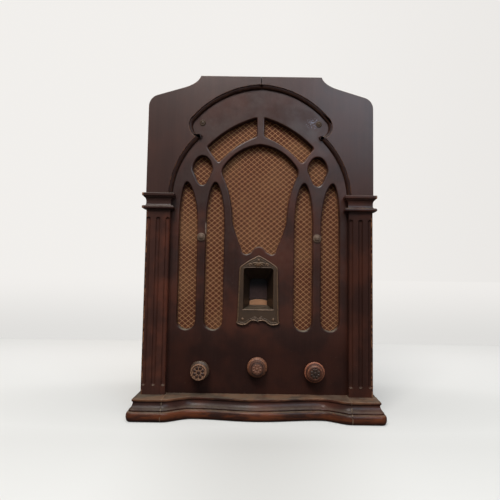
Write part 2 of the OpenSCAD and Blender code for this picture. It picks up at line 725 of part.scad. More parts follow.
module condenser_stator() {
    color("#c9c6bc") translate([0, 0, dial_z]) {
        for (y = GANGS, k = [0:VANES - 2])
            upright(y + vane_pitch * k + vane_pitch / 2, vane_t) difference() {
                union() {
                    circle(vane_r);
                    for (z = [-8, 8]) translate([rod_x, z]) circle(2.6);
                    translate([rod_x, -8]) square([6, 16]);
                }
                circle(shaft_r + 4);
                translate([-2, -50]) square([100, 100]);
            }
        for (z = [-8, 8]) bar(rod_x, z, 1.3, gang_y + plate_t, gang_end - plate_t);
    }
}
module condenser_rotor() {
    color("#bdbab0") translate([0, 0, dial_z]) {
        bar(0, 0, shaft_r, scale_y - 1, gang_end + 3);
        for (y = GANGS, k = [0:VANES - 1])
            upright(y + vane_pitch * k, vane_t) intersection() {
                circle(vane_r);
                union() {
                    translate([-50, -50]) square([100, 50]);
                    circle(shaft_r + 2.4);
                }
            }
    }
}

module chassis() {
    x = chassis_half;
    color("#8f8b80") difference() {
        block([-x, chassis_front, floor_z], [x, chassis_back, deck_z]);
        block([-x + steel, chassis_front + steel, floor_z + steel],
              [x - steel, chassis_back - steel, deck_z - steel]);
        block([-x + 20, chassis_front + 20, floor_z - 1],
              [x - 20, chassis_back - 20, floor_z + steel + 1]);
        for (v = VALVES) translate([v.x, v.y, deck_z - 5]) cylinder(r = 14, h = 10);
        for (k = [-knob_x, knob_x]) bar(k, knob_z, bush_r + gap, chassis_front - 1, control_y + 1);
        bar(0, tune_z, bush_r + gap, chassis_front - 1, control_y + 1);
        bar(GROMMET.x, GROMMET.y, grommet_r + 2, chassis_back - steel - 1, chassis_back + 1);
        for (p = POSTS) bar(p.x, p.y, 3.2, chassis_back - steel - 1, chassis_back + 1);
        for (b = BOLTS) translate([b.x, b.y, floor_z - 1]) cylinder(r = 2.4, h = steel + 2);
        translate([LEAD_FOOT.x, LEAD_FOOT.y, deck_z - 5]) cylinder(r = 4, h = 10);
    }
}
module chassis_bolts() {
    color("#77736a") for (b = BOLTS) translate([b.x, b.y, 0]) {
        translate([0, 0, floor_z - bottom_t - 3]) cylinder(r = 5, h = 3, $fn = 6);
        translate([0, 0, floor_z - bottom_t]) cylinder(r = 2.2, h = bottom_t + steel + 3);
        translate([0, 0, floor_z + steel]) cylinder(r = 4.5, h = 3, $fn = 6);
    }
}

module valve_sockets() {
    color("#3a2d26") for (v = VALVES) translate([v.x, v.y, deck_z]) difference() {
        cylinder(r = socket_r, h = socket_h);
        translate([0, 0, -1]) cylinder(r = 9, h = socket_h + 2);
    }
}
module valve_bases() {
    color("#2a1f1c") for (v = VALVES) translate([v.x, v.y, deck_z + socket_h]) {
        rotate_extrude() polygon([[0, 0], [16, 0], [16.6, 0.8], [16.6, 3], [16, 4],
            [16, valve_base_h], [0, valve_base_h]]);
        for (a = [45:90:315]) rotate([0, 0, a]) translate([6.4, 0, -7]) cylinder(r = 1.4, h = 7.5);
    }
}
// Right-hand edge of a bulb, inset by d
function bulb_side(d) = let (r = bulb_r - d, neck = 13.6 - d) concat(
    curve([neck, 0], [neck, 9], [(neck + r) / 2, bulb_h * 0.3], 6),
    curve([(neck + r) / 2, bulb_h * 0.3], [r, bulb_h * 0.42], [r, bulb_h * 0.58], 6),
    curve([r, bulb_h * 0.58], [r, bulb_h * 0.86 - d / 2], [r * 0.42, bulb_h * 0.96 - d], 8));
module valve_bulbs() {
    glass = 0.9;
    color("#cfd6d2", 0.4) for (v = VALVES)
        translate([v.x, v.y, deck_z + socket_h + valve_base_h]) rotate_extrude()
            polygon(tidy(concat(bulb_side(0), [[0, bulb_h]], [[0, bulb_h - glass]],
                [for (i = [len(bulb_side(glass)) - 1:-1:0]) bulb_side(glass)[i]])));
}
module valve_anodes() {
    color("#4a4a4a") for (v = VALVES)
        translate([v.x, v.y, deck_z + socket_h + valve_base_h]) rotate_extrude()
            polygon([[0, 0], [6.5, 0], [5, 5], [4, 14], [10, 15.4], [10, 16.4], [8, 17],
                [8, 43], [10, 43.6], [10, 44.6], [0, 45]]);
}
shield_h = socket_h + valve_base_h + bulb_h + 6;
module valve_shields() {
    color("#9b988e") for (i = [0:SHIELDED - 1])
        translate([VALVES[i].x, VALVES[i].y, deck_z]) rotate_extrude() polygon([
            [shield_r, 0], [shield_r + 0.8, 0], [shield_r + 0.8, shield_h - 10],
            [shield_r - 1.2, shield_h - 4], [10.8, shield_h], [6, shield_h],
            [6, shield_h - 0.8], [10.6, shield_h - 0.8], [shield_r - 2, shield_h - 4.6],
            [shield_r, shield_h - 10.4]]);
}
// Cap on each shielded valve and its lead down to the tuning condenser
module grid_leads() {
    cap_z = deck_z + socket_h + valve_base_h + bulb_h;
    color("#8c7a5a") for (i = [0:SHIELDED - 1]) {
        v = [VALVES[i].x, VALVES[i].y, cap_z];
        goal = [-gang_half - 1.1, GANGS[i] + 4, gang_top - 2];
        translate(v) cylinder(r = 4.6, h = 10);
        tube(concat(
            curve(v + [4, 0, 8], [v.x + 34, v.y, v.z + 18], goal + [-4, 0, 34], 10),
            curve(goal + [-4, 0, 30], goal + [-4, 0, 0], goal, 8)), 1.2, [0, 1, 0.1]);
    }
}

core = [66, 26, 62];
module transformer_core() {
    color("#3c3a38") translate([MAINS.x, MAINS.y, deck_z]) rotate(90) difference() {
        block([-core.x / 2, -core.y / 2, 0], [core.x / 2, core.y / 2, core.z]);
        for (x = [-1, 1], z = [6, core.z - 6]) translate([x * (core.x / 2 - 5), 0, z])
            rotate([90, 0, 0]) cylinder(r = 2, h = core.y + 2, center = true);
    }
}
module transformer_covers() {
    color("#2c2b2a") translate([MAINS.x, MAINS.y, deck_z]) rotate(90) {
        for (s = [-1, 1]) {
            scale([1, s, 1]) hull() for (x = [-1, 1], z = [12, core.z - 12]) {
                translate([x * (core.x / 2 - 14), core.y / 2, z]) rotate([-90, 0, 0])
                    cylinder(r = 11.5, h = 12, $fn = 32);
                translate([x * (core.x / 2 - 14), core.y / 2, z]) rotate([-90, 0, 0])
                    cylinder(r = 8, h = 16, $fn = 32);
            }
        }
        for (x = [-1, 1], z = [6, core.z - 6]) translate([x * (core.x / 2 - 5), 0, z]) {
            rotate([90, 0, 0]) cylinder(r = 1.9, h = core.y + 6, center = true);
            for (s = [-1, 1]) scale([1, s, 1]) translate([0, core.y / 2, 0])
                rotate([-90, 0, 0]) cylinder(r = 4, h = 3, $fn = 6);
        }
    }
}
module smoothing_cans() {
    color("#a5673f") for (c = SMOOTHERS) translate([c.x, c.y, deck_z]) rotate_extrude()
        polygon([[0, 0], [can_r, 0], [can_r, 3], [can_r - 0.8, 3.6], [can_r - 0.8, 84],
            [can_r - 2, 86], [can_r - 5, 86.6], [can_r - 6, 85.4], [0, 85.4]]);
}
if_half = 17;
module if_cans() {
    color("#aaa79d") for (c = IF_CANS) translate([c.x, c.y, deck_z]) difference() {
        hull() for (x = [-1, 1], y = [-1, 1]) {
            translate([x * (if_half - 4), y * (if_half - 4), 0]) cylinder(r = 4, h = 78, $fn = 24);
            translate([x * (if_half - 5), y * (if_half - 5), 0]) cylinder(r = 3, h = 80, $fn = 24);
        }
        translate([0, 0, 76]) cylinder(r = 3.2, h = 6);
    }
}

GROMMET = [96, floor_z + 22];
POSTS = [[-96, floor_z + 30], [-72, floor_z + 30]];
post_r = 2;
module mains_grommet() {
    color("#1d1b1a") difference() {
        union() {
            bar(GROMMET.x, GROMMET.y, grommet_r + 1.9, chassis_back - steel - 2, chassis_back + 2);
            bar(GROMMET.x, GROMMET.y, grommet_r + 4, chassis_back, chassis_back + 2.4);
            bar(GROMMET.x, GROMMET.y, grommet_r + 4, chassis_back - steel - 2.4,
                chassis_back - steel);
        }
        bar(GROMMET.x, GROMMET.y, grommet_r, chassis_back - steel - 3, chassis_back + 3);
    }
}
module aerial_earth_posts() {
    color("#a38a4c") for (p = POSTS) {
        bar(p.x, p.y, 3, chassis_back - steel - 4, chassis_back);
        bar(p.x, p.y, 6, chassis_back, chassis_back + 1.5);
        bar(p.x, p.y, post_r, chassis_back + 1.5, y_back - 0.5);
    }
}

// Loudspeaker: flange, ledge for the rim of the cone, ribs and back plate
rim_r = speaker_r - 12;
module speaker_frame() {
    color("#4e4c48") translate([0, 0, speaker_z]) difference() {
        translate([0, throat_y, 0]) rotate([90, 0, 0]) rotate_extrude() polygon([
            [15, 0], [pot_r + 1, 0], [rim_r + 1.5, throat_y - y_baffle - 5],
            [rim_r + 1.5, throat_y - y_baffle - 1.5], [speaker_r, throat_y - y_baffle - 1.5],
            [speaker_r, throat_y - y_baffle], [rim_r, throat_y - y_baffle],
            [rim_r, throat_y - y_baffle - 3.8], [rim_r - 6, throat_y - y_baffle - 3.8],
            [rim_r - 6, throat_y - y_baffle - 5.2],
            [rim_r - 0.4, throat_y - y_baffle - 5.2], [pot_r, 1.4], [15, 1.4]]);
        for (a = [45:90:315]) rotate([0, a, 0])
            translate([0, throat_y - 6, 0]) rotate([90, 0, 0])
                translate([pot_r - 2, -24, 0]) cube([60, 48, 34]);
        for (b = SPEAKER_BOLTS) bar(b.x, b.y, 2.4, y_baffle - 1, y_baffle + 3);
    }
}
SPEAKER_BOLTS = [for (a = [45:90:315]) (speaker_r - 5) * [cos(a), sin(a)]];
module speaker_bolts() {
    color("#77736a") for (b = SPEAKER_BOLTS)
        translate([b.x, y_baffle + 1.5, speaker_z + b.y]) rotate([-90, 0, 0])
            cylinder(r = 4, h = 3, $fn = 6);
}
coil_r = 13;
module speaker_cone() {
    front = y_baffle + 3;
    color("#8a7a5c") translate([0, 0, speaker_z]) turned(0, throat_y, 0, [
        [coil_r, -5], [coil_r + 0.6, -5], [coil_r + 0.6, 8], [rim_r - 7, throat_y - front - 0.8],
        [rim_r - 0.3, throat_y - front - 0.8], [rim_r - 0.3, throat_y - front],
        [rim_r - 7.6, throat_y - front], [coil_r, 9]]);
}
module speaker_magnet() {
    color("#5a5650") translate([0, 0, speaker_z]) difference() {
        union() {
            bar(0, 0, pot_r - 3, throat_y, throat_y + pot_l);
            bar(0, 0, pot_r, throat_y, throat_y + 7);
            bar(0, 0, pot_r, throat_y + pot_l - 7, throat_y + pot_l);
        }
        difference() {
            bar(0, 0, coil_r + 1.2, throat_y - 1, throat_y + 9);
            bar(0, 0, coil_r - 0.6, throat_y - 2, throat_y + 10);
        }
    }
}
OUT = [46, 36, 32];
out_y = throat_y + 12;
out_z = speaker_z - pot_r + 5 - OUT.z;
module output_transformer() {
    color("#45423f") difference() {
        union() {
            block([-OUT.x / 2, out_y, out_z], [OUT.x / 2, out_y + OUT.y, out_z + OUT.z]);
            block([-OUT.x / 2 + 6, out_y - 5, out_z + 5],
                  [OUT.x / 2 - 6, out_y + OUT.y + 5, out_z + OUT.z - 9]);
        }
        bar(0, speaker_z, pot_r - 3 + gap, out_y - 10, out_y + OUT.y + 10);
    }
}
// The loudspeaker's lead runs down into the chassis
LEAD_FOOT = [40, gang_end - 8];
module speaker_lead() {
    top = [OUT.x / 2 + 3 * gap, out_y + 12, out_z + 10];
    knee = top + [10, 2, -22];
    foot = [LEAD_FOOT.x, LEAD_FOOT.y, deck_z - 6];
    shin = foot + [0, 0, 84];
    color("#3b332a") tube(concat(
        curve(top, top + [10, 0, 0], knee, 8),
        curve(knee + [0.3, 0.4, -4], knee + [3, 6, -30], shin + [0, -2, 20], 8),
        curve(shin + [0, 0, 10], shin, foot, 4)), 2.4, [0, 1, 0]);
}

front_board();
spandrel_left();
spandrel_right();
pilaster_left();
pilaster_right();
capital_left();
capital_right();
base_front();
base_side_left();
base_side_right();
side_left();
side_right();
top_wrap();
bottom_board();
glue_blocks();
mullion_bosses();
panel_screws();
grille_cloth();
baffle_board();
escutcheon();
escutcheon_pins();
dial_scale();
drive_disc();
dial_hub();
dial_mask();
lamp_holder();
pilot_lamp();
knob_volume();
knob_tuning();
knob_tone();
volume_shaft();
tuning_shaft();
tone_shaft();
drive_roller();
volume_control();
tone_control();
tuning_bush();
condenser_frame();
condenser_stator();
condenser_rotor();
chassis();
chassis_bolts();
valve_sockets();
valve_bases();
valve_bulbs();
valve_anodes();
valve_shields();
grid_leads();
transformer_core();
transformer_covers();
smoothing_cans();
if_cans();
mains_grommet();
aerial_earth_posts();
speaker_frame();
speaker_cone();
speaker_magnet();
output_transformer();
speaker_bolts();
speaker_lead();
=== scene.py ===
import json
import math
from functools import partial

import bmesh
import bpy
import numpy as np
from bpy.props import FloatProperty, FloatVectorProperty, IntProperty
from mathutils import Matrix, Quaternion, Vector

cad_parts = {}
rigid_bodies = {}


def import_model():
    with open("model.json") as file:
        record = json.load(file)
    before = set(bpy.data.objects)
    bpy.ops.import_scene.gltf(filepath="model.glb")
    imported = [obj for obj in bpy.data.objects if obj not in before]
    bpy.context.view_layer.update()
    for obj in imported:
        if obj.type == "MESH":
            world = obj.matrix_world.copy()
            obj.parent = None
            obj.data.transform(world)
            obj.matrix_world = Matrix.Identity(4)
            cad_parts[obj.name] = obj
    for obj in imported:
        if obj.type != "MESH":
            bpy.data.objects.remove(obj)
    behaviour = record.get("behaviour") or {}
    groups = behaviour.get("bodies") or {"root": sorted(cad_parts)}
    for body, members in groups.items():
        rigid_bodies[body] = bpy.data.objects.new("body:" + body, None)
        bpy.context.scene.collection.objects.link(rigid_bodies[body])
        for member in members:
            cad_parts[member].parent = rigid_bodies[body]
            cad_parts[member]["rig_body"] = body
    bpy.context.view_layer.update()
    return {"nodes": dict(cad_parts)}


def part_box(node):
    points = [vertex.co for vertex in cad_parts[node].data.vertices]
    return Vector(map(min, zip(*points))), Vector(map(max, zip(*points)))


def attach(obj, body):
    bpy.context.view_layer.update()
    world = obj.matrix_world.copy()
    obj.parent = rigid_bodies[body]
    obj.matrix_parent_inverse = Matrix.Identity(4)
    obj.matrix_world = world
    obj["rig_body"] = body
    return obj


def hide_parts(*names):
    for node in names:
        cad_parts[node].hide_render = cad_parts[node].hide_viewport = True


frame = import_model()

bl_info = {
    "name": "Arched Table Radio",
    "version": (1, 0, 0),
    "blender": (4, 5, 0),
    "location": "View3D > Sidebar > Radio",
    "description": "Gives an arched wooden table radio its mouldings, fittings and finishes",
    "category": "Object",
}

MM = 0.001
WELD = 2e-6
NEAR = 0.05 * MM
FRONT = Vector((0, -1, 0))

# Places that the frame gives, in metres
y_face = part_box("front_board")[0].y
y_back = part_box("side_left")[1].y
cab_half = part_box("side_right")[1].x
base_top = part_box("base_front")[1].z
dial_axis = (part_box("dial_scale")[0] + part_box("dial_scale")[1]) / 2


# Settings

def length(name, description, default):
    return FloatProperty(name=name, description=description, default=default, min=0.0,
                         unit="LENGTH", precision=5)


def share(name, description, default):
    return FloatProperty(name=name, description=description, default=default, min=0.0, max=1.0)


def strength(name, description, default):
    return FloatProperty(name=name, description=description, default=default)


def angle(name, description, degrees):
    return FloatProperty(name=name, description=description, default=math.radians(degrees),
                         subtype="ANGLE")


def colour(name, description, default):
    return FloatVectorProperty(name=name, description=description, default=default,
                               subtype="COLOR", size=3, min=0.0, max=1.0)


class RadioCabinetSettings(bpy.types.PropertyGroup):
    """Sizes and colours of the cabinet"""
    window_round: length("Window rounding", "Rounding of the window edges", 1.8 * MM)
    arch_bead: length("Arch bead", "Rounding of the ledge along the arch", 3.8 * MM)
    edge_ease: length("Edge easing", "Rounding of the plain edges", 0.7 * MM)
    corner_round: length("Base corner", "Rounding of the corners of the base", 1.4 * MM)
    joint_width: length("Joint width", "Width of the glued joints in the base", 0.7 * MM)
    varnish_dark: colour("Dark varnish", "Colour in the grain", (0.015, 0.0056, 0.0044))
    varnish_mid: colour("Varnish", "Colour of the varnished front", (0.05, 0.02, 0.0142))
    varnish_warm: colour("Warm varnish", "Colour where the old varnish glows red", (0.088, 0.0255, 0.0142))
    base_red: colour("Base red", "Colour of the worn foot of the base", (0.19, 0.05, 0.016))
    worn: colour("Worn edge", "Colour of the bare wood on worn edges", (0.3, 0.13, 0.06))
    dust: colour("Dust", "Colour of the dust on what faces up", (0.21, 0.175, 0.125))
    raw: colour("Raw wood", "Colour of the wood inside", (0.3, 0.18, 0.1))


class RadioFittingSettings(bpy.types.PropertyGroup):
    """Sizes and colours of the cloth, the dial and the knobs"""
    lattice_w: length("Lattice width", "Width of the cloth's diamonds", 8.0 * MM)
    lattice_h: length("Lattice height", "Height of the cloth's diamonds", 6.7 * MM)
    thread_w: length("Thread width", "Width of the cloth's pale lines", 0.7 * MM)
    cloth_ground: colour("Cloth", "Ground of the cloth", (0.095, 0.0245, 0.0075))
    cloth_line: colour("Cloth lines", "Pale lines of the cloth", (0.9, 0.46, 0.195))
    bronze: colour("Bronze", "Old bronze of the escutcheon", (0.064, 0.0345, 0.018))
    scale_tan: colour("Scale", "Celluloid of the dial scale", (0.4, 0.195, 0.1))
    petals: IntProperty(name="Petals", description="Petals of a knob's rosette", default=8, min=5, max=12)
    # Painted shade: the colour laid on what faces down on the knobs.
    knob_under_shade: colour("Knob underside shade", "Painted shade on what faces down on the knobs", (0.02, 0.011, 0.008))


class RadioStageSettings(bpy.types.PropertyGroup):
    """The camera, the light and the backdrop"""
    camera_back: length("Camera distance", "From the front board to the camera", 0.6588)
    camera_side: length("Camera side", "Sideways place of the camera", 2.5 * MM)
    camera_height: length("Camera height", "Height of the camera", 0.1778)
    camera_pitch: angle("Pitch", "How far the camera looks up", 4.46)
    camera_roll: angle("Roll", "How far the camera is turned about its axis", 0.85)
    floor_end: length("Floor end", "How far behind the object the floor takes the backdrop's colour", 0.6)
    floor_near: colour("Floor", "The floor near the camera", (0.775, 0.765, 0.74))
    floor_far: colour("Far floor", "The floor at its far end", (0.92, 0.905, 0.88))
    # Painted shadow: how dark the floor is painted before the object.
    floor_shade: share("Floor shade", "Dimness of the floor before the object", 0.23)
    # Painted shade: the backdrop is darker just above the floor.
    horizon: colour("Horizon", "The backdrop just above the floor", (0.75, 0.74, 0.72))
    backdrop: colour("Backdrop", "The upper part of the backdrop", (0.885, 0.865, 0.84))
    bounce_tone: colour("Floor bounce", "Colour that the floor gives back to the object", (0.14, 0.135, 0.13))
    floor_light: share("Floor light", "Share of the near floor's brightness that the lights give", 0.72)
    sky: strength("Fill", "Strength of the light from all sides", 0.24)
    top: strength("Top light", "Strength of the light above", 20.0)
    key: strength("Key", "Strength of the light from above the front", 13.0)
    window: strength("Window", "Strength of the cool light from the right", 10.0)


# Modelling helpers

def focus(piece):
    """Leaves only this piece selected, and active."""
    for other in bpy.context.selected_objects:
        other.select_set(False)
    bpy.context.view_layer.objects.active = piece
    if piece:
        piece.select_set(True)


def edit(piece):
    focus(piece)
    bpy.ops.object.mode_set(mode="EDIT")
    bpy.ops.mesh.select_mode(type="VERT")


def leave():
    bpy.ops.object.mode_set(mode="OBJECT")


def everything():
    bpy.ops.mesh.select_all(action="SELECT")


def weld():
    bpy.ops.mesh.remove_doubles(threshold=WELD)


def edit_all(piece):
    edit(piece)
    everything()


def close_up():
    """Turns every face outwards and leaves edit mode."""
    everything()
    bpy.ops.mesh.normals_make_consistent(inside=False)
    leave()


def extrude(shift):
    bpy.ops.mesh.extrude_region_move(TRANSFORM_OT_translate={"value": shift})


def resize(shares, about):
    bpy.ops.transform.resize(value=shares, center_override=about)


def turn_about_y(angle, about):
    bpy.ops.transform.rotate(value=angle, orient_axis="Y", center_override=about)


def start(kind, name, **how):
    """Adds a primitive at its size and place, which go into its mesh."""
    focus(None)
    getattr(bpy.ops.mesh, "primitive_" + kind + "_add")(**how)
    piece = bpy.context.object
    piece.name = name
    piece.data.name = name
    bpy.ops.object.transform_apply(location=True, rotation=True, scale=True)
    return piece


def pick(kind, test):
    """In edit mode, selects the verts, edges or faces that pass a test of place or normal."""
    bpy.ops.mesh.select_mode(type=kind)
    bpy.ops.mesh.select_all(action="DESELECT")
    mesh = bpy.context.edit_object.data
    shape = bmesh.from_edit_mesh(mesh)
    items = {"VERT": shape.verts, "EDGE": shape.edges, "FACE": shape.faces}[kind]
    chosen = [item for item in items if test(item)]
    for item in chosen:
        item.select_set(True)
    shape.select_flush_mode()
    bmesh.update_edit_mesh(mesh)
    return len(chosen)


def middle(edge):
    return (edge.verts[0].co + edge.verts[1].co) / 2


def rim(edge, y):
    """True on an edge between a face that looks to the front, at a depth, and a wall square to it."""
    if len(edge.link_faces) != 2:
        return False
    a, b = (face.normal.dot(FRONT) for face in edge.link_faces)
    return max(a, b) > 0.99 and abs(min(a, b)) < 0.05 and abs(middle(edge).y - y) < NEAR


def pick_rim(y):
    """Selects the outer edges of the front faces at a depth."""
    pick("EDGE", lambda edge: rim(edge, y) and edge.is_convex)


def pick_open(test=lambda edge: True):
    """Selects the open edges that pass a test."""
    pick("EDGE", lambda edge: len(edge.link_faces) == 1 and test(edge))


def fill_open(test=lambda edge: True):
    """Puts a face into the hole whose open edges pass a test."""
    pick_open(test)
    bpy.ops.mesh.edge_face_add()


def level(edge, axis, place):
    """True on an edge whose two ends lie at one place on an axis."""
    return all(abs(vert.co[axis] - place) < WELD for vert in edge.verts)


def bevel(width, segments):
    bpy.ops.mesh.bevel(offset=width, offset_type="OFFSET", segments=segments, profile=0.5,
                       affect="EDGES", clamp_overlap=False, loop_slide=True)


def modified(piece, kind, **values):
    """Adds a modifier and applies it."""
    focus(piece)
    bpy.ops.object.modifier_add(type=kind)
    modifier = piece.modifiers[-1]
    for key, value in values.items():
        setattr(modifier, key, value)
    bpy.ops.object.modifier_apply(modifier=modifier.name)


def smooth(piece, angle):
    """Shades smooth up to an angle, with flat faces kept flat."""
    focus(piece)
    bpy.ops.object.shade_smooth_by_angle(angle=math.radians(angle))
    modified(piece, "WEIGHTED_NORMAL", keep_sharp=True, weight=50)


def placed(name, data, at=(0, 0, 0)):
    """Puts a mesh, a camera or a light into the scene."""
    thing = bpy.data.objects.new(name, data)
    bpy.context.scene.collection.objects.link(thing)
    thing.location = at
    return thing


def welded_copy(node):
    """A copy of a CAD node's mesh whose triangles are joined into whole faces."""
    piece = placed(node + "_shape", frame["nodes"][node].data.copy())
    edit_all(piece)
    bpy.ops.mesh.customdata_custom_splitnormals_clear()
    weld()
    bpy.ops.mesh.mark_sharp(clear=True)
    bpy.ops.mesh.dissolve_limited(angle_limit=math.radians(0.4))
    return piece


def paint(piece, look):
    piece.data.materials.clear()
    piece.data.materials.append(finish(look))


def stand_in(piece, node, look, angle=0):
    """Hands a piece to the body of the CAD node that it takes the place of, with its finish.

    First it is shaded smooth up to an angle, if one is given."""
    if angle:
        smooth(piece, angle)
    paint(piece, look)
    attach(piece, frame["nodes"][node]["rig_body"])
    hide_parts(node)


def dress(look, ease, *nodes):
    """Keeps the shape of CAD nodes and gives them a finish and edges eased by so many millimetres."""
    for node in nodes:
        piece = frame["nodes"][node]
        paint(piece, look)
        piece.modifiers.new("weld", "WELD").merge_threshold = WELD
        if ease:
            easing = piece.modifiers.new("easing", "BEVEL")
            easing.width = ease * MM
            easing.segments = 2
            easing.limit_method = "ANGLE"
            easing.angle_limit = math.radians(40)
            easing.harden_normals = False
        piece.modifiers.new("weights", "WEIGHTED_NORMAL").weight = 50


def turned(name, centre, profile, around):
    """Turns a profile of [radius, distance] points about an axis that comes out of the front.

    A profile that ends where it starts leaves a bore. An end on the axis closes in a pole."""
    centre = Vector(centre)
    tiny = 0.002 * MM
    rings = [(max(r, tiny), d) for r, d in profile]
    r0, d0 = rings[0]
    piece = start("circle", name, vertices=around, radius=r0, fill_type="NOTHING",
                  location=centre + FRONT * d0, rotation=(math.pi / 2, 0, 0))
    edit_all(piece)
    for (ra, da), (rb, db) in zip(rings, rings[1:]):
        extrude(FRONT * (db - da))
        resize((rb / ra, 1, rb / ra), centre)
    ends = [rings[0], rings[-1]]
    if math.dist(*ends) < WELD:
        everything()
        weld()
    else:
        for r, d in ends:
            at = centre + FRONT * d
            pick("VERT", lambda v: abs((v.co - at).dot(FRONT)) < WELD
                 and abs((v.co - at).length - r) < max(WELD, 0.001 * r)
                 and len(v.link_edges) == 3)
            if r < 2 * tiny:
                bpy.ops.mesh.merge(type="CENTER")
            else:
                bpy.ops.mesh.edge_face_add()
    close_up()
    return piece


def formed_grid(name, across, along, place):
    """A grid whose points are laid on a surface: place gives x, y and z for shares u and v."""
    piece = start("grid", name, x_subdivisions=across, y_subdivisions=along, size=2)
    points = np.empty(len(piece.data.vertices) * 3)
    piece.data.vertices.foreach_get("co", points)
    u, v = (points.reshape(-1, 3)[:, :2].T + 1) / 2
    piece.data.vertices.foreach_set("co", np.stack(place(u, v), 1).ravel())
    piece.data.update()
    edit_all(piece)
    weld()
    leave()
    return piece


def mirrored(piece, name):
    """A copy on the other side, with its own mesh."""
    focus(piece)
    bpy.ops.object.duplicate()
    twin = bpy.context.object
    twin.name = name
    twin.data.name = name
    edit_all(twin)
    resize((-1, 1, 1), (0, 0, 0))
    bpy.ops.mesh.flip_normals()
    leave()
    return twin


def stand_in_pair(right, kind, look, angle):
    """Mirrors a right-hand piece and hands both to the nodes of their sides."""
    left = mirrored(right, kind + "_left_moulding")
    for shape, side in ((right, "_right"), (left, "_left")):
        stand_in(shape, kind + side, look, angle)


def joined(pieces, name):
    """Several shapes of one casting or one group, joined."""
    focus(pieces[0])
    for piece in pieces:
        piece.select_set(True)
    bpy.ops.object.join()
    whole = bpy.context.object
    whole.name = name
    whole.data.name = name
    return whole


def rod(name, points, radius, closed=False):
    """A round bar bent along points, made a mesh."""
    focus(None)
    bpy.ops.curve.primitive_bezier_curve_add()
    bar = bpy.context.object
    bar.name = name
    line = bar.data
    line.dimensions = "3D"
    line.splines.clear()
    spline = line.splines.new("POLY")
    spline.points.add(len(points) - 1)
    for point, place in zip(spline.points, points):
        point.co = (*place, 1)
    spline.use_cyclic_u = closed
    line.bevel_depth = radius
    line.bevel_resolution = 2
    line.use_fill_caps = True
    bpy.ops.object.convert(target="MESH")
    bar = bpy.context.object
    bpy.ops.object.transform_apply(location=True, rotation=True, scale=True)
    edit_all(bar)
    weld()
    if not closed:
        pick("FACE", lambda face: len(face.verts) > 4)
        bpy.ops.mesh.inset(thickness=radius * 0.4, depth=radius * 0.35)
    close_up()
    return bar


def ball(name, at, shape, angle, segments=10, middle_shape=None):
    """A drawn-out ball of 1 mm, turned about the front's axis. Its inner half can be narrowed first."""
    piece = start("uv_sphere", name, segments=segments, ring_count=8, radius=1 * MM, location=at)
    edit_all(piece)
    resize(shape, at)
    if middle_shape:
        pick("VERT", lambda v: v.co.x < at.x - 0.5 * MM)
        resize(middle_shape, at)
        everything()
    turn_about_y(angle, at)
    leave()
    return piece


def bend(p, q, r, n):
    """Points of a curve from p to r that is pulled towards q."""
    p, q, r = np.array(p, float), np.array(q, float), np.array(r, float)
    return [tuple((1 - t) ** 2 * p + 2 * t * (1 - t) * q + t * t * r) for t in np.linspace(0, 1, n + 1)]


def chain(*parts):
    """Points along a profile, from single points and from curves that are given as bend takes them."""
    points = []
    for part in parts:
        points += bend(*part) if len(part) == 4 else [part]
    return points


# Finishes

class Value:
    """A socket that takes part in Python arithmetic. An expression adds its Math nodes."""

    def __init__(self, finish, socket):
        self.finish = finish
        self.socket = socket

    def math(self, operation, *rest, clamp=False):
        inputs = dict(enumerate((self,) + rest))
        return self.finish.put("ShaderNodeMath", {"operation": operation, "use_clamp": clamp}, inputs)

    def back(self, operation, other):
        return self.finish.put("ShaderNodeMath", {"operation": operation}, {0: other, 1: self})

    __add__ = lambda self, other: self.math("ADD", other)
    __mul__ = lambda self, other: self.math("MULTIPLY", other)
    __sub__ = lambda self, other: self.math("SUBTRACT", other)
    __rsub__ = lambda self, other: self.back("SUBTRACT", other)
    __truediv__ = lambda self, other: self.math("DIVIDE", other)
    __rtruediv__ = lambda self, other: self.back("DIVIDE", other)
    __pow__ = lambda self, other: self.math("POWER", other)
    __neg__ = lambda self: self.math("MULTIPLY", -1.0)
    __abs__ = lambda self: self.math("ABSOLUTE")
    least = lambda self, other: self.math("MINIMUM", other)
    most = lambda self, other: self.math("MAXIMUM", other)
    whole = lambda self: self.math("ROUND")
    clamp = lambda self: self.math("ADD", 0.0, clamp=True)

    def rise(self, low, high):
        """0 below low, 1 above high, smooth between."""
        return self.finish.put("ShaderNodeMapRange", {"interpolation_type": "SMOOTHSTEP"},
                               {"Value": self, "From Min": low, "From Max": high})


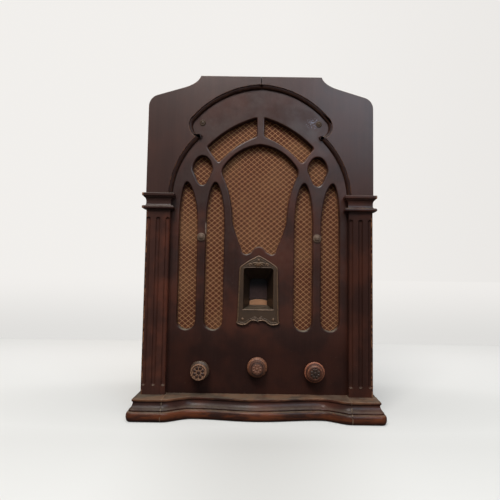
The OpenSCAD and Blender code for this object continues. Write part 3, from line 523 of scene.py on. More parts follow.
class Finish:
    """A material, or the world, that is being put together from nodes."""

    def __init__(self, name, world=False):
        self.material = (bpy.data.worlds if world else bpy.data.materials).new(name)
        self.material.use_nodes = True
        tree = self.material.node_tree
        self.nodes, self.links = tree.nodes, tree.links
        self.nodes.clear()
        self.body = None
        if world:
            self.x = self.parts(self.put("ShaderNodeTexCoord", {}, {}, "Generated"))[0]
            return
        self.place = self.put("ShaderNodeTexCoord", {}, {}, "Object")
        self.x, self.y, self.z = self.parts(self.place)
        facing = self.put("ShaderNodeTexCoord", {}, {}, "Normal")
        self.nx, self.ny, self.nz = self.parts(facing)

    def put(self, kind, settings, inputs, out=0):
        """Adds a node: its settings first, then the values or links of its sockets."""
        node = self.nodes.new(kind)
        for key, value in settings.items():
            setattr(node, key, value)
        for key, value in inputs.items():
            socket = node.inputs[key]
            if isinstance(value, Value):
                self.links.new(value.socket, socket)
            elif socket.type == "RGBA" and len(value) == 3:
                socket.default_value = (*value, 1)
            else:
                socket.default_value = value
        return Value(self, node.outputs[out])

    def parts(self, vector):
        split = self.put("ShaderNodeSeparateXYZ", {}, {"Vector": vector})
        return [Value(self, socket) for socket in split.socket.node.outputs]

    def stretched(self, x, y, z):
        return self.put("ShaderNodeVectorMath", {"operation": "MULTIPLY"}, {0: self.place, 1: (x, y, z)})

    def radius(self, centre):
        """Distance from an axis that comes out of the front."""
        dx, dz = self.x - centre.x, self.z - centre.z
        return (dx * dx + dz * dz) ** 0.5

    def noise(self, stretch, detail=3.0, rough=0.55, distortion=0.0, shift=0.0):
        """Noise whose features are as fine per metre as stretch says, on each axis."""
        spread = self.stretched(*(stretch if isinstance(stretch, tuple) else (stretch,) * 3))
        if shift:
            spread = self.put("ShaderNodeVectorMath", {"operation": "ADD"}, {0: spread, 1: (shift,) * 3})
        return self.put("ShaderNodeTexNoise", {}, {"Vector": spread, "Scale": 1.0, "Detail": detail,
                                                   "Roughness": rough, "Distortion": distortion})

    def cells(self, fine):
        spread = self.stretched(fine, fine, fine)
        return self.put("ShaderNodeTexVoronoi", {}, {"Vector": spread, "Scale": 1.0}, "Distance")

    def blend(self, factor, a, b):
        """Mixes two colours."""
        return self.put("ShaderNodeMix", {"data_type": "RGBA"}, {0: factor, 6: a, 7: b}, 2)

    def over(self, share, tone):
        """Lays a colour over the body, as far as the share says."""
        self.body = self.blend(share, self.body, tone)

    def dusted(self, fine, patchy, facing, cover, much=1.0):
        """Patches of dust on what faces up, laid over the body. Gives their share."""
        lint = self.noise(fine, 3.0, 0.7).rise(*patchy) * self.nz.rise(*facing)
        if much != 1.0:
            lint = lint * much
        self.over(lint * cover, cabinet().dust)
        return lint

    def bump(self, height):
        """A surface raised by a height in metres."""
        return self.put("ShaderNodeBump", {}, {"Height": height, "Distance": 1.0, "Strength": 1.0}, "Normal")

    def done(self, **sockets):
        """Closes the material with a Principled shader, in the body's colour unless another is given."""
        named = {key.replace("_", " "): value for key, value in sockets.items()}
        named.setdefault("Base Color", self.body)
        shader = self.put("ShaderNodeBsdfPrincipled", {}, named)
        self.put_output(shader)
        return self.material

    def put_output(self, shader, kind="ShaderNodeOutputMaterial"):
        self.links.new(shader.socket, self.nodes.new(kind).inputs["Surface"])


def cabinet():
    return bpy.context.scene.radio_cabinet


def fittings():
    return bpy.context.scene.radio_fittings


def stage_values():
    return bpy.context.scene.radio_stage


def toned(colour, share):
    """A colour made darker or lighter by a share."""
    return tuple(c * share for c in colour)


def wood_figure(f, axis, shift=0.0):
    """Shares of the wood's figure, its fibres and its open pores, which run along one axis."""
    def run(fine, coarse):
        return tuple(coarse if name == axis else fine for name in "xyz")
    broad = f.noise(run(46, 2.6), 3.0, 0.5, 0.6, shift)
    fibres = f.noise(run(430, 10), 4.0, 0.65, 0.0, shift)
    pores = f.noise(run(1500, 48), 2.0, 0.5, 0.0, shift).rise(0.6, 0.72)
    return (broad * 0.7 + fibres * 0.5 - 0.1).clamp(), fibres, pores


def varnished(name, axis, warmth, gloss, tone=1.0, edge=None, chips=0.0, dust=1.0, extra=None):
    """Old dark varnish on wood: grain, red glow, dust where it faces up and wear on the edges."""
    s = cabinet()
    f = Finish(name)
    figure, fibres, pores = wood_figure(f, axis)
    dark = toned(s.varnish_dark, tone)
    f.body = f.blend(figure, dark, toned(s.varnish_mid, tone))
    glow = f.noise(16.0, 3.0, 0.6).rise(0.42, 0.66)
    f.over(glow * warmth, toned(s.varnish_warm, tone))
    f.over(pores * 0.5, dark)
    if extra:
        gloss = extra(f, gloss)
    rub = f.noise(190.0, 4.0, 0.7)
    if edge:
        worn = edge(f) * rub.rise(0.42, 0.6)
        f.over(worn * 0.7, s.worn)
    if chips:
        spot = f.noise((110, 110, 260), 3.0, 0.8, 0.0, 5.0).rise(0.74 - 0.1 * chips, 0.78 - 0.1 * chips)
        f.over(spot * 0.8, s.worn)
    lint = f.dusted(75.0, (0.2, 0.6), (0.4, 0.95), 0.55 * dust)
    specks = f.noise(900.0, 1.0, 0.5).rise(0.78, 0.82)
    f.over(specks * 0.4, s.dust)
    smear = f.noise((9, 9, 5), 4.0, 0.6)
    coat = (smear * 0.9 + 0.55) * gloss * (1 - lint * 0.6)
    rough = smear * 0.2 + 0.45 + lint * 0.2
    height = fibres * 0.00003 - pores * 0.00002 + f.noise(160.0, 3.0) * 0.00004
    return f.done(Roughness=rough, Specular_IOR_Level=0.06, Coat_Weight=coat,
                  Coat_Roughness=0.28, Normal=f.bump(height))


def base_wear_and_shade(f, gloss):
    """Wear of the base: red wood on the round foot, orange on the ledge and pale joints; painted shade
    darkens the bottom, under the foot.
    """
    s = cabinet()
    low = 1 - f.z.rise(11 * MM, 13.5 * MM)
    rub = f.noise((30, 30, 150), 4.0, 0.7)
    f.over(low * rub.rise(0.36, 0.64) * 0.6, s.base_red)
    # Painted shade: the lowest few millimetres, under the round foot, turn dark.
    f.over((1 - f.z.rise(1 * MM, 6 * MM)) * 0.75, s.varnish_dark)
    ledge = f.z.rise(base_top - 3.2 * MM, base_top - 1.8 * MM)
    f.over(ledge * rub.rise(0.42, 0.62) * 0.4, s.worn)
    joint_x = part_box("pilaster_right")[0].x - 0.6 * MM
    joint = 1 - abs(abs(f.x) - joint_x).rise(0.2 * MM, 0.8 * MM)
    outside = f.ny.math("LESS_THAN", 0.2)
    flaked = f.noise(260.0, 3.0, 0.7).rise(0.42, 0.56)
    f.over(joint * outside * flaked * 0.6, (0.34, 0.25, 0.17))
    return gloss


def board_shade_and_sheen(f, gloss):
    """The front board: dull low down, and darker there and on what faces down by painted shade; greyer
    towards the top by a painted sheen, with a painted bluish highlight near the right-hand screw and a pale
    chip.
    """
    s = cabinet()
    # Painted shade: darker towards the bottom of the board and on faces that look down.
    low = 1 - f.z.rise(75 * MM, 125 * MM)
    under = f.nz.rise(-0.6, -0.1)
    f.over((low * 0.6).most(0.75 - under * 0.75), s.varnish_dark)
    # Painted sheen: the board turns greyer towards the top.
    top_sheen = f.z.rise(320 * MM, 400 * MM)
    f.over(top_sheen * 0.5, s.varnish_mid)
    # Painted highlight: a pale bluish patch near the right-hand screw.
    blue_highlight = 1 - oval(f, 71, 383, 13, 9).rise(0.1, 1.0)
    f.over(blue_highlight * f.noise(420.0, 3.0, 0.7).rise(0.5, 0.62) * 0.55, (0.2, 0.2, 0.26))
    haze = f.noise(30.0, 4.0, 0.65).rise(0.35, 0.7) * f.z.rise(110 * MM, 190 * MM)
    high = f.z.rise(230 * MM, 300 * MM) * (1 - f.z.rise(365 * MM, 395 * MM))
    chip = 1 - oval(f, -70.9, 240, 0.7, 8).rise(0.6, 1.1)
    f.over(chip * f.noise(600.0, 2.0, 0.6).rise(0.3, 0.55), (0.55, 0.42, 0.33))
    return (haze * 0.9 + high * 0.7 + 0.8 - low * 0.5) * gloss * (under * 0.8 + 0.2)


def on_ledge(f):
    """1 behind the front of the spandrels, on the ledge along the arch."""
    return f.y.rise(y_face - 4.9 * MM, y_face - 4.3 * MM)


def oval(f, x, z, half_x, half_z):
    """Squared distance from a place on the front, as a share of an oval patch's half sizes."""
    return ((f.x - x * MM) / (half_x * MM)) ** 2 + ((f.z - z * MM) / (half_z * MM)) ** 2


def arch_step_shade(f, gloss):
    """The spandrels: painted shade turns the walls and the ledge in the step of the arch black, with an open
    joint between the two.
    """
    s = cabinet()
    # Painted shade: the walls and the ledge of the arch's step.
    wall = 1 - abs(f.ny).rise(0.15, 0.6)
    ledge = on_ledge(f)
    f.over(wall.most(ledge) * 0.85, s.varnish_dark)
    joint = 1 - abs(f.x).rise(0.3 * MM, 0.8 * MM)
    f.over(joint, (0.002, 0.0015, 0.001))
    return (1 - wall.most(ledge).most(joint) * 0.8) * gloss


def shoulder_edge(f):
    """Where a rounding turns away from the front."""
    facing = -f.ny
    ledge = on_ledge(f)
    return facing.rise(0.1, 0.5) * (1 - facing.rise(0.8, 0.98)) * (1 - ledge * 0.88)


def pilaster_edge(f):
    """The outer corners of the pilasters."""
    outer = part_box("pilaster_right")[1].x
    return abs(f.x).rise(outer - 1.6 * MM, outer - 0.5 * MM) * 1.4


def capital_tip(f):
    """The tips of the capitals' mouldings."""
    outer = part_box("capital_right")[1].x
    return abs(f.x).rise(outer - 2.6 * MM, outer - 1.2 * MM) * 2


def raw_wood(name, axis, tone):
    """Bare wood inside the cabinet, with grime and dust."""
    s = cabinet()
    f = Finish(name)
    figure, fibres, pores = wood_figure(f, axis, 3.0)
    dark = toned(s.raw, 0.45 * tone)
    light = toned(s.raw, tone)
    f.body = f.blend(figure, dark, light)
    f.over(pores * 0.4, dark)
    grime = f.noise(7.0, 4.0, 0.65).rise(0.42, 0.75)
    f.over(grime * 0.5, toned(light, 0.3))
    f.dusted(60.0, (0.35, 0.7), (0.6, 0.95), 0.5)
    height = fibres * 0.00008 - pores * 0.00005
    return f.done(Roughness=0.85, Specular_IOR_Level=0.2, Normal=f.bump(height))


def old_metal(name, tone, metallic=1.0, rough=0.45, stain=(0.05, 0.04, 0.03), stains=0.5, brush=None,
              dust=0.5, grain=0.00002):
    """Metal with stains, fine scratches and dust."""
    f = Finish(name)
    patch = f.noise(42.0, 4.0, 0.65).rise(0.5, 0.75)
    fine = f.noise(brush or 500.0, 3.0, 0.6)
    f.body = f.blend(patch * stains, tone, stain)
    f.over(fine * 0.35, toned(tone, 0.6))
    lint = f.dusted(90.0, (0.35, 0.7), (0.5, 0.95), 0.6, dust)
    metal = (1 - lint) * (1 - patch * stains * 0.5) * metallic
    return f.done(Metallic=metal, Roughness=fine * 0.2 + rough + lint * 0.3,
                  Normal=f.bump(fine * grain + patch * 0.00003))


def enamel(name, tone, rough, crackle=0.0):
    """Baked enamel or moulded plastic with grime and dust."""
    f = Finish(name)
    patch = f.noise(35.0, 4.0, 0.65)
    f.body = f.blend(patch.rise(0.45, 0.8) * 0.5, tone, tuple(c * 0.5 + 0.01 for c in tone))
    lint = f.dusted(90.0, (0.3, 0.7), (0.5, 0.95), 0.5)
    height = f.noise(240.0, 2.0) * 0.00003
    if crackle:
        height = height + f.cells(900.0) * crackle
    return f.done(Roughness=patch * 0.25 + rough + lint * 0.3,
                  Specular_IOR_Level=0.4, Normal=f.bump(height))


def cloth_finish(name):
    """Woven silk with a diamond lattice of pale lines, and faded patches."""
    s = fittings()
    f = Finish(name)
    warp = f.noise((60, 60, 60), 2.0) * 0.35
    u = f.x / s.lattice_w + f.z / s.lattice_h + warp * 0.12
    v = f.x / s.lattice_w - f.z / s.lattice_h + warp * 0.12
    off_u = abs(u - u.whole())
    off_v = abs(v - v.whole())
    half = s.thread_w / (s.lattice_w + s.lattice_h)
    line = 1 - off_u.least(off_v).rise(half * 0.4, half * 1.1)
    thread = f.noise((1700, 1700, 1700), 2.0, 0.6)
    fade = f.noise(16.0, 3.0, 0.6)
    f.body = f.blend(line * (thread * 0.5 + 0.5), s.cloth_ground, s.cloth_line)
    f.over(thread * 0.25, toned(s.cloth_ground, 0.5))
    f.over(fade.rise(0.4, 0.8) * 0.25, toned(s.cloth_line, 0.35))
    height = line * 0.00025 + thread * 0.00012
    return f.done(Roughness=0.75, Specular_IOR_Level=0.25, Sheen_Weight=0.15,
                  Normal=f.bump(height))


def bronze_finish(name):
    """Cast bronze gone brown: rubbed lighter where it stands proud of the plate, with painted shade deep in
    the dial window's tunnel.
    """
    s = fittings()
    f = Finish(name)
    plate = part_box("escutcheon")[0].y
    patch = f.noise(60.0, 4.0, 0.65)
    f.body = f.blend(patch.rise(0.35, 0.75) * 0.6, s.bronze, toned(s.bronze, 0.5))
    proud = 1 - f.y.rise(plate - 0.7 * MM, plate - 0.15 * MM)
    f.over(proud * f.noise(240.0, 3.0, 0.7).rise(0.3, 0.55) * 0.8, toned(s.bronze, 2.7))
    lint = f.dusted(140.0, (0.2, 0.65), (0.25, 0.9), 0.45)
    # Painted shade: darker the deeper it lies behind the plate, in the dial window's tunnel.
    sunk = f.y.rise(plate + 1.8 * MM, plate + 6 * MM)
    f.over(sunk * 0.6 * (1 - lint * 0.8), toned(s.bronze, 0.3))
    height = f.noise(700.0, 3.0) * 0.00005 + patch * 0.0001
    return f.done(Metallic=0.35, Roughness=patch * 0.2 + 0.38, Normal=f.bump(height))


def mask_finish(name):
    """The dull dark mask above the dial scale, with a painted shadow that turns it black under the top of the
    window.
    """
    f = Finish(name)
    patch = f.noise(160.0, 4.0, 0.65)
    f.body = f.blend(patch.rise(0.3, 0.7) * 0.5, (0.05, 0.025, 0.021), (0.024, 0.0125, 0.011))
    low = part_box("dial_mask")[0].z
    # Painted shadow under the top of the window.
    f.over(f.z.rise(low + 12 * MM, low + 26 * MM) * 0.9, (0.002, 0.0015, 0.0015))
    return f.done(Roughness=0.6, Specular_IOR_Level=0.2, Normal=f.bump(patch * 0.0001))


# How far each knob's rosette reaches, in millimetres
ROSETTES = {"knob_volume": 8.2, "knob_tuning": 6.4, "knob_tone": 6.9}


def knob_finish(name, tan, petals, ground, bands):
    """A stained knob: worn where it stands proud, with painted shade on what faces down.

    The rosette has two colours, of its petals and of the ground between them.
    Bands give inner and outer radius, how deep they reach from the front, and a colour."""
    s = fittings()
    f = Finish(name)
    low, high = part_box(name)
    centre = (low + high) / 2
    radius = f.radius(centre)
    depth = f.y - low.y
    grain = f.noise((300, 40, 300), 3.0, 0.6)
    f.body = f.blend(grain.rise(0.3, 0.75) * 0.5, tan, toned(tan, 0.45))
    reach = ROSETTES[name]
    inner = (1 - radius.rise((reach - 0.3) * MM, (reach + 0.3) * MM)) * (1 - depth.rise(3 * MM, 4 * MM))
    raised = 1 - depth.rise(0.75 * MM, 1.15 * MM)
    f.over(inner, f.blend(raised, ground, petals))
    for r0, r1, deep, tone in bands:
        band = radius.rise(r0 * MM, (r0 + 0.4) * MM) * (1 - radius.rise(r1 * MM, (r1 + 0.4) * MM))
        band = band * (1 - depth.rise((deep - 0.5) * MM, deep * MM))
        f.over(band * f.noise(420.0, 3.0, 0.7).rise(0.3, 0.55), tone)
    f.dusted(300.0, (0.25, 0.65), (0.2, 0.85), 0.09)
    # Painted shade: darkens what faces down on the knob.
    under = (-f.nz).rise(0.1, 0.8)
    f.over(under * 0.5, s.knob_under_shade)
    return f.done(Roughness=grain * 0.2 + 0.4, Specular_IOR_Level=0.3,
                  Coat_Weight=0.15, Coat_Roughness=0.25, Normal=f.bump(grain * 0.0001))


def celluloid_finish(name):
    """The dial scale: tan celluloid, browner towards its middle."""
    s = fittings()
    f = Finish(name)
    radius = f.radius(dial_axis)
    patch = f.noise(120.0, 3.0, 0.6)
    f.body = f.blend(patch.rise(0.3, 0.8) * 0.4, s.scale_tan, toned(s.scale_tan, 0.55))
    f.over((1 - radius.rise(24 * MM, 30 * MM)) * 0.6, toned(s.scale_tan, 0.4))
    return f.done(Roughness=0.35, Specular_IOR_Level=0.4,
                  Normal=f.bump(patch * 0.00003))


def glass_finish(name):
    """Thin valve glass with a silvered getter patch on its crown."""
    f = Finish(name)
    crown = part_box("valve_bulbs")[1].z
    getter = f.z.rise(crown - 18 * MM, crown - 8 * MM)
    haze = f.noise(60.0, 3.0, 0.6).rise(0.35, 0.8)
    clear = f.put("ShaderNodeBsdfPrincipled", {}, {
        "Base Color": (0.78, 0.8, 0.76), "Roughness": 0.08, "Alpha": haze * 0.12 + 0.16,
        "Specular IOR Level": 0.6})
    mirror = f.put("ShaderNodeBsdfPrincipled", {}, {
        "Base Color": (0.32, 0.31, 0.3), "Metallic": 0.9, "Roughness": haze * 0.2 + 0.15})
    f.put_output(f.put("ShaderNodeMixShader", {}, {0: getter, 1: clear, 2: mirror}))
    return f.material


def lamp_glass_finish(name):
    f = Finish(name)
    haze = f.noise(300.0, 2.0, 0.6)
    return f.done(Base_Color=(0.7, 0.64, 0.5), Roughness=0.12, Alpha=haze * 0.3 + 0.35)


def paper_finish(name):
    """Grey-brown pulp paper of the cone."""
    f = Finish(name)
    pulp = f.noise(900.0, 4.0, 0.7)
    f.body = f.blend(pulp.rise(0.3, 0.7), (0.12, 0.095, 0.07), (0.2, 0.165, 0.12))
    stain = f.noise(25.0, 3.0, 0.6).rise(0.5, 0.8)
    f.over(stain * 0.5, (0.07, 0.05, 0.035))
    return f.done(Roughness=0.95, Specular_IOR_Level=0.15, Normal=f.bump(pulp * 0.00015))


def braid_finish(name):
    f = Finish(name)
    weave = f.noise((1800, 1800, 700), 2.0, 0.6)
    f.body = f.blend(weave.rise(0.35, 0.65), (0.045, 0.033, 0.022), (0.16, 0.12, 0.075))
    return f.done(Roughness=0.9, Specular_IOR_Level=0.15, Normal=f.bump(weave * 0.0002))


# What the floor and the backdrop turn towards where shade is painted on them
FLOOR_SHADOW = (0.3, 0.285, 0.26)
BACKDROP_SHADE = (0.3, 0.29, 0.28)
BLACK = (0, 0, 0)


def floor_finish(name):
    """The plain pale floor, whose far part is the backdrop. The camera sees its tone with a faint
    shadow on it, partly from the lamps and partly painted around and before the object; the object
    only gets back the dimmer bounce."""
    s = stage_values()
    f = Finish(name)
    seen = f.put("ShaderNodeLightPath", {}, {}, "Is Camera Ray")
    # Painted shadow: a faint dark patch around the object and a stronger one before it.
    around = ((f.x / 0.45) ** 2 + ((f.y + 0.02) / 0.17) ** 2) ** 0.5
    ahead = 1 - f.y.rise(-0.2, -0.1)
    shade = (1 - around.rise(0.7, 1.1)) * 0.06
    shade = shade.most(ahead * (1 - abs(f.x).rise(0.0, 0.15)) * s.floor_shade + ahead * 0.1)
    floor = f.blend(f.y.rise(-0.15, 0.75 * s.floor_end), s.floor_near, s.floor_far)
    floor = f.blend(shade, floor, FLOOR_SHADOW)
    out = f.y.most((f.x ** 2 + f.y ** 2) ** 0.5 - 0.5)
    back = s.camera_back - y_face
    away = (out + back) / (s.floor_end + back)
    height = (1 - 1 / away) * s.camera_height
    far = out.rise(s.floor_end + 0.01, s.floor_end + 0.06)
    # Painted shade on the backdrop: darker towards the floor, and a little to the right.
    tone = f.blend(far, floor, f.blend(height.rise(0.01, 0.18), s.horizon, s.backdrop))
    tone = f.blend((f.x / away.most(1)).rise(0.05, 0.7) * 0.04, tone, BACKDROP_SHADE)
    own = far.most(1 - s.floor_light)
    light = f.blend(seen, BLACK, f.blend(own, BLACK, tone))
    base = f.blend(seen, s.bounce_tone, f.blend(own, tone, BLACK))
    return f.done(Base_Color=base, Roughness=0.9, Specular_IOR_Level=0.0, Emission_Color=light,
                  Emission_Strength=1.0)


def sky_finish(name):
    """The camera sees the backdrop with painted shade, a little darker to the right; the object gets the
    plain fill.
    """
    s = stage_values()
    f = Finish(name, world=True)
    seen = f.put("ShaderNodeLightPath", {}, {}, "Is Camera Ray")
    right = f.put("ShaderNodeMapRange", {}, {"Value": f.x, "From Min": 0.04, "From Max": 0.46, "To Max": 0.1})
    tone = f.blend(seen, (s.sky, s.sky, s.sky), f.blend(right, s.backdrop, BACKDROP_SHADE))
    f.put_output(f.put("ShaderNodeBackground", {}, {"Color": tone}), "ShaderNodeOutputWorld")
    return f.material


FINISHES = {
    "front": partial(varnished, axis="z", tone=1.05, warmth=0.6, gloss=0.46, dust=1.6, extra=board_shade_and_sheen),
    "spandrel": partial(varnished, axis="z", tone=1.3, warmth=0.15, gloss=0.7, edge=shoulder_edge,
                        extra=arch_step_shade),
    # Painted light: the left pilaster has a lighter, warmer and glossier copy of the varnish, the right a
    # darker one, for how the light falls.
    "pilaster_left": partial(varnished, axis="z", tone=1.45, warmth=0.8, gloss=0.16, edge=pilaster_edge),
    "pilaster_right": partial(varnished, axis="z", warmth=0.5, gloss=0.07, edge=pilaster_edge),
    "capital": partial(varnished, axis="x", tone=1.1, warmth=0.6, gloss=0.45, edge=capital_tip),
    "side": partial(varnished, axis="z", warmth=0.6, gloss=0.45),
    "top": partial(varnished, axis="x", warmth=0.6, gloss=0.45),
    "base": partial(varnished, axis="x", warmth=0.75, gloss=0.27, chips=0.16, dust=0.7, extra=base_wear_and_shade),
    "raw_x": partial(raw_wood, axis="x", tone=1.0),
    "raw_z": partial(raw_wood, axis="z", tone=0.9),
    "grille_cloth": cloth_finish,
    "bronze": bronze_finish,
    "boss": partial(old_metal, tone=(0.16, 0.1, 0.066), metallic=0.2, stain=(0.05, 0.03, 0.02)),
    "celluloid": celluloid_finish,
    "glass": glass_finish,
    "lamp_glass": lamp_glass_finish,
    "cone_paper": paper_finish,
    "lead_braid": braid_finish,
    "brass": partial(old_metal, tone=(0.4, 0.28, 0.12)),
    "steel": partial(old_metal, tone=(0.42, 0.4, 0.36), rough=0.5, stains=0.7),
    "aluminium": partial(old_metal, tone=(0.62, 0.61, 0.58), rough=0.4, brush=(700, 700, 60)),
    "copper": partial(old_metal, tone=(0.45, 0.19, 0.09), rough=0.4, brush=(60, 60, 900)),
    "core": partial(old_metal, tone=(0.12, 0.1, 0.085), rough=0.6, brush=(30, 30, 2500), grain=0.0001),
    "electrode": partial(old_metal, tone=(0.1, 0.1, 0.1), rough=0.6, stains=0.2, dust=0.0),
    "mask": mask_finish,
    "enamel": partial(enamel, tone=(0.022, 0.021, 0.02), rough=0.35, crackle=0.00012),
    "bakelite": partial(enamel, tone=(0.045, 0.024, 0.017), rough=0.3),
    "rubber": partial(enamel, tone=(0.022, 0.021, 0.02), rough=0.7),
    "knob_volume": partial(knob_finish, tan=(0.075, 0.04, 0.022), petals=(0.035, 0.013, 0.008),
                           ground=(0.22, 0.11, 0.062), bands=[(8.4, 10.6, 4.5, (0.26, 0.13, 0.075))]),
    "knob_tuning": partial(knob_finish, tan=(0.11, 0.042, 0.024), petals=(0.17, 0.07, 0.04),
                           ground=(0.1, 0.04, 0.023), bands=[(10.2, 13.2, 14, (0.22, 0.085, 0.042)),
                                                             (6.8, 8.0, 14, (0.02, 0.008, 0.006))]),
    "knob_tone": partial(knob_finish, tan=(0.1, 0.032, 0.018), petals=(0.03, 0.015, 0.0095),
                         ground=(0.075, 0.032, 0.018), bands=[(11.4, 13.2, 14, (0.34, 0.115, 0.06)),
                                                              (8.7, 9.3, 14, (0.3, 0.12, 0.06))]),
    "floor": floor_finish,
}
made = {}


def finish(name):
    """Each finish is made once, when it is first asked for."""
    if name not in made:
        made[name] = FINISHES[name](name)
    return made[name]


# Pieces

class RADIO_OT_front_board(bpy.types.Operator):
    """Rounds the windows of the fretwork board"""
    bl_idname = "radio.front_board"
    bl_label = "Front Board"

    def execute(self, context):
        board = welded_copy("front_board")
        low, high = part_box("grille_cloth")
        foot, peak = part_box("escutcheon")
        tunnel_top = foot.z + 80 * MM

        def window(edge):
            at = middle(edge)
            tunnel = abs(at.x) < peak.x and foot.z < at.z < tunnel_top
            return rim(edge, y_face) and abs(at.x) < high.x and low.z < at.z < high.z and not tunnel

        pick("EDGE", window)
        bevel(cabinet().window_round, 5)
        leave()
        stand_in(board, "front_board", "front", 32)
        return {"FINISHED"}


ARCH_STEP = 1.5 * MM     # from the spandrels' front down to the ledge along the arch


class RADIO_OT_spandrels(bpy.types.Operator):
    """Moulds the edge of the arch and eases the shoulders"""
    bl_idname = "radio.spandrels"
    bl_label = "Spandrels"

    def execute(self, context):
        s = cabinet()
        for node in ("spandrel_left", "spandrel_right"):
            piece = welded_copy(node)
            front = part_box(node)[0].y
            pick_rim(front + ARCH_STEP)
            bevel(s.arch_bead, 5)
            pick_rim(front)
            bevel(s.edge_ease, 3)
            leave()
            stand_in(piece, node, "spandrel", 32)
        return {"FINISHED"}


class RADIO_OT_pilasters(bpy.types.Operator):
    """Eases the fluted pilasters"""
    bl_idname = "radio.pilasters"
    bl_label = "Pilasters"

    def execute(self, context):
        for node in ("pilaster_left", "pilaster_right"):
            # Each pilaster takes its own finish: painted light makes the left one lighter and the right one
            # darker.
            dress(node, 0.35, node)
        return {"FINISHED"}


# How far a capital stands out in millimetres, at which share of its height
CAPITAL = chain(
    (0, 0), (0.3, 0.03),
    ((4.0, 0.055), (5.3, 0.06), (5.3, 0.14), 4),
    ((5.3, 0.16), (5.3, 0.235), (3.6, 0.245), 4),
    ((1.6, 0.26), (0.7, 0.3), (0.7, 0.42), 4),
    ((0.7, 0.5), (0.8, 0.7), (3.4, 0.745), 6),
    (3.6, 0.76), (3.6, 0.79), (4.9, 0.815),
    ((5.1, 0.82), (5.4, 0.83), (5.4, 0.86), 2),
    ((5.4, 0.95), (5.4, 0.99), (4.9, 1.0), 3),
)


class RADIO_OT_capitals(bpy.types.Operator):
    """Builds each capital up from a plate, one moulding after another"""
    bl_idname = "radio.capitals"
    bl_label = "Capitals"

    def execute(self, context):
        inner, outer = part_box("pilaster_right")
        low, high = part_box("capital_right")
        rise = high.z - low.z
        wide, deep = outer.x - inner.x, y_face - inner.y
        middle_x = (inner.x + outer.x) / 2
        pivot = (middle_x, y_face, low.z)
        piece = start("plane", "capital", size=1, location=(middle_x, y_face - deep / 2, low.z))
        edit_all(piece)
        resize((wide, deep, 1), (middle_x, y_face - deep / 2, low.z))
        out, up = 0.0, 0.0
        for reach, share in CAPITAL[1:]:
            reach = reach * MM
            extrude((0, 0, (share - up) * rise))
            resize(((wide + 2 * reach) / (wide + 2 * out), (deep + reach) / (deep + out), 1), pivot)
            out, up = reach, share
        close_up()
        stand_in_pair(piece, "capital", "capital", 40)
        return {"FINISHED"}


# Base profile: share of the foot's reach past the ledge, share of the height
BASE = chain(
    ((0.36, 0), (0.98, 0.0), (1, 0.235), 8),
    ((1, 0.265), (0.98, 0.45), (0.46, 0.468), 8),
    ((0.42, 0.472), (0.4, 0.495), (0.46, 0.498), 2),
    ((0.52, 0.5), (0.54, 0.515), (0.52, 0.53), 2),
    ((0.46, 0.55), (0.02, 0.64), (-0.16, 0.78), 9),
    ((-0.2, 0.83), (-0.2, 0.885), (-0.1, 0.892), 4),
    ((-0.02, 0.9), (0.03, 0.905), (0.03, 0.945), 3),
    ((0.03, 0.96), (0.03, 0.998), (-0.08, 1.0), 4),
)
LEDGE_PAST = 2.2 * MM    # how far the ledge of the base stands past the sides
FOOT_OUT = 7 * MM        # how far the round foot stands out past the ledge
VALLEY_HALF = 80 * MM    # the serpentine front's deepest places, from the middle
VALLEY_IN = 16.6 * MM    # how far it is drawn in there
BOW_IN = 7.4 * MM        # and in the middle
JOINT_DEEP = 0.5 * MM    # the groove of the base's glued joints


def base_profile(v):
    """Reach and height shares of the base profile for shares along it."""
    at = np.clip(np.round(v * (len(BASE) - 1)).astype(int), 0, len(BASE) - 1)
    return np.array(BASE)[at].T


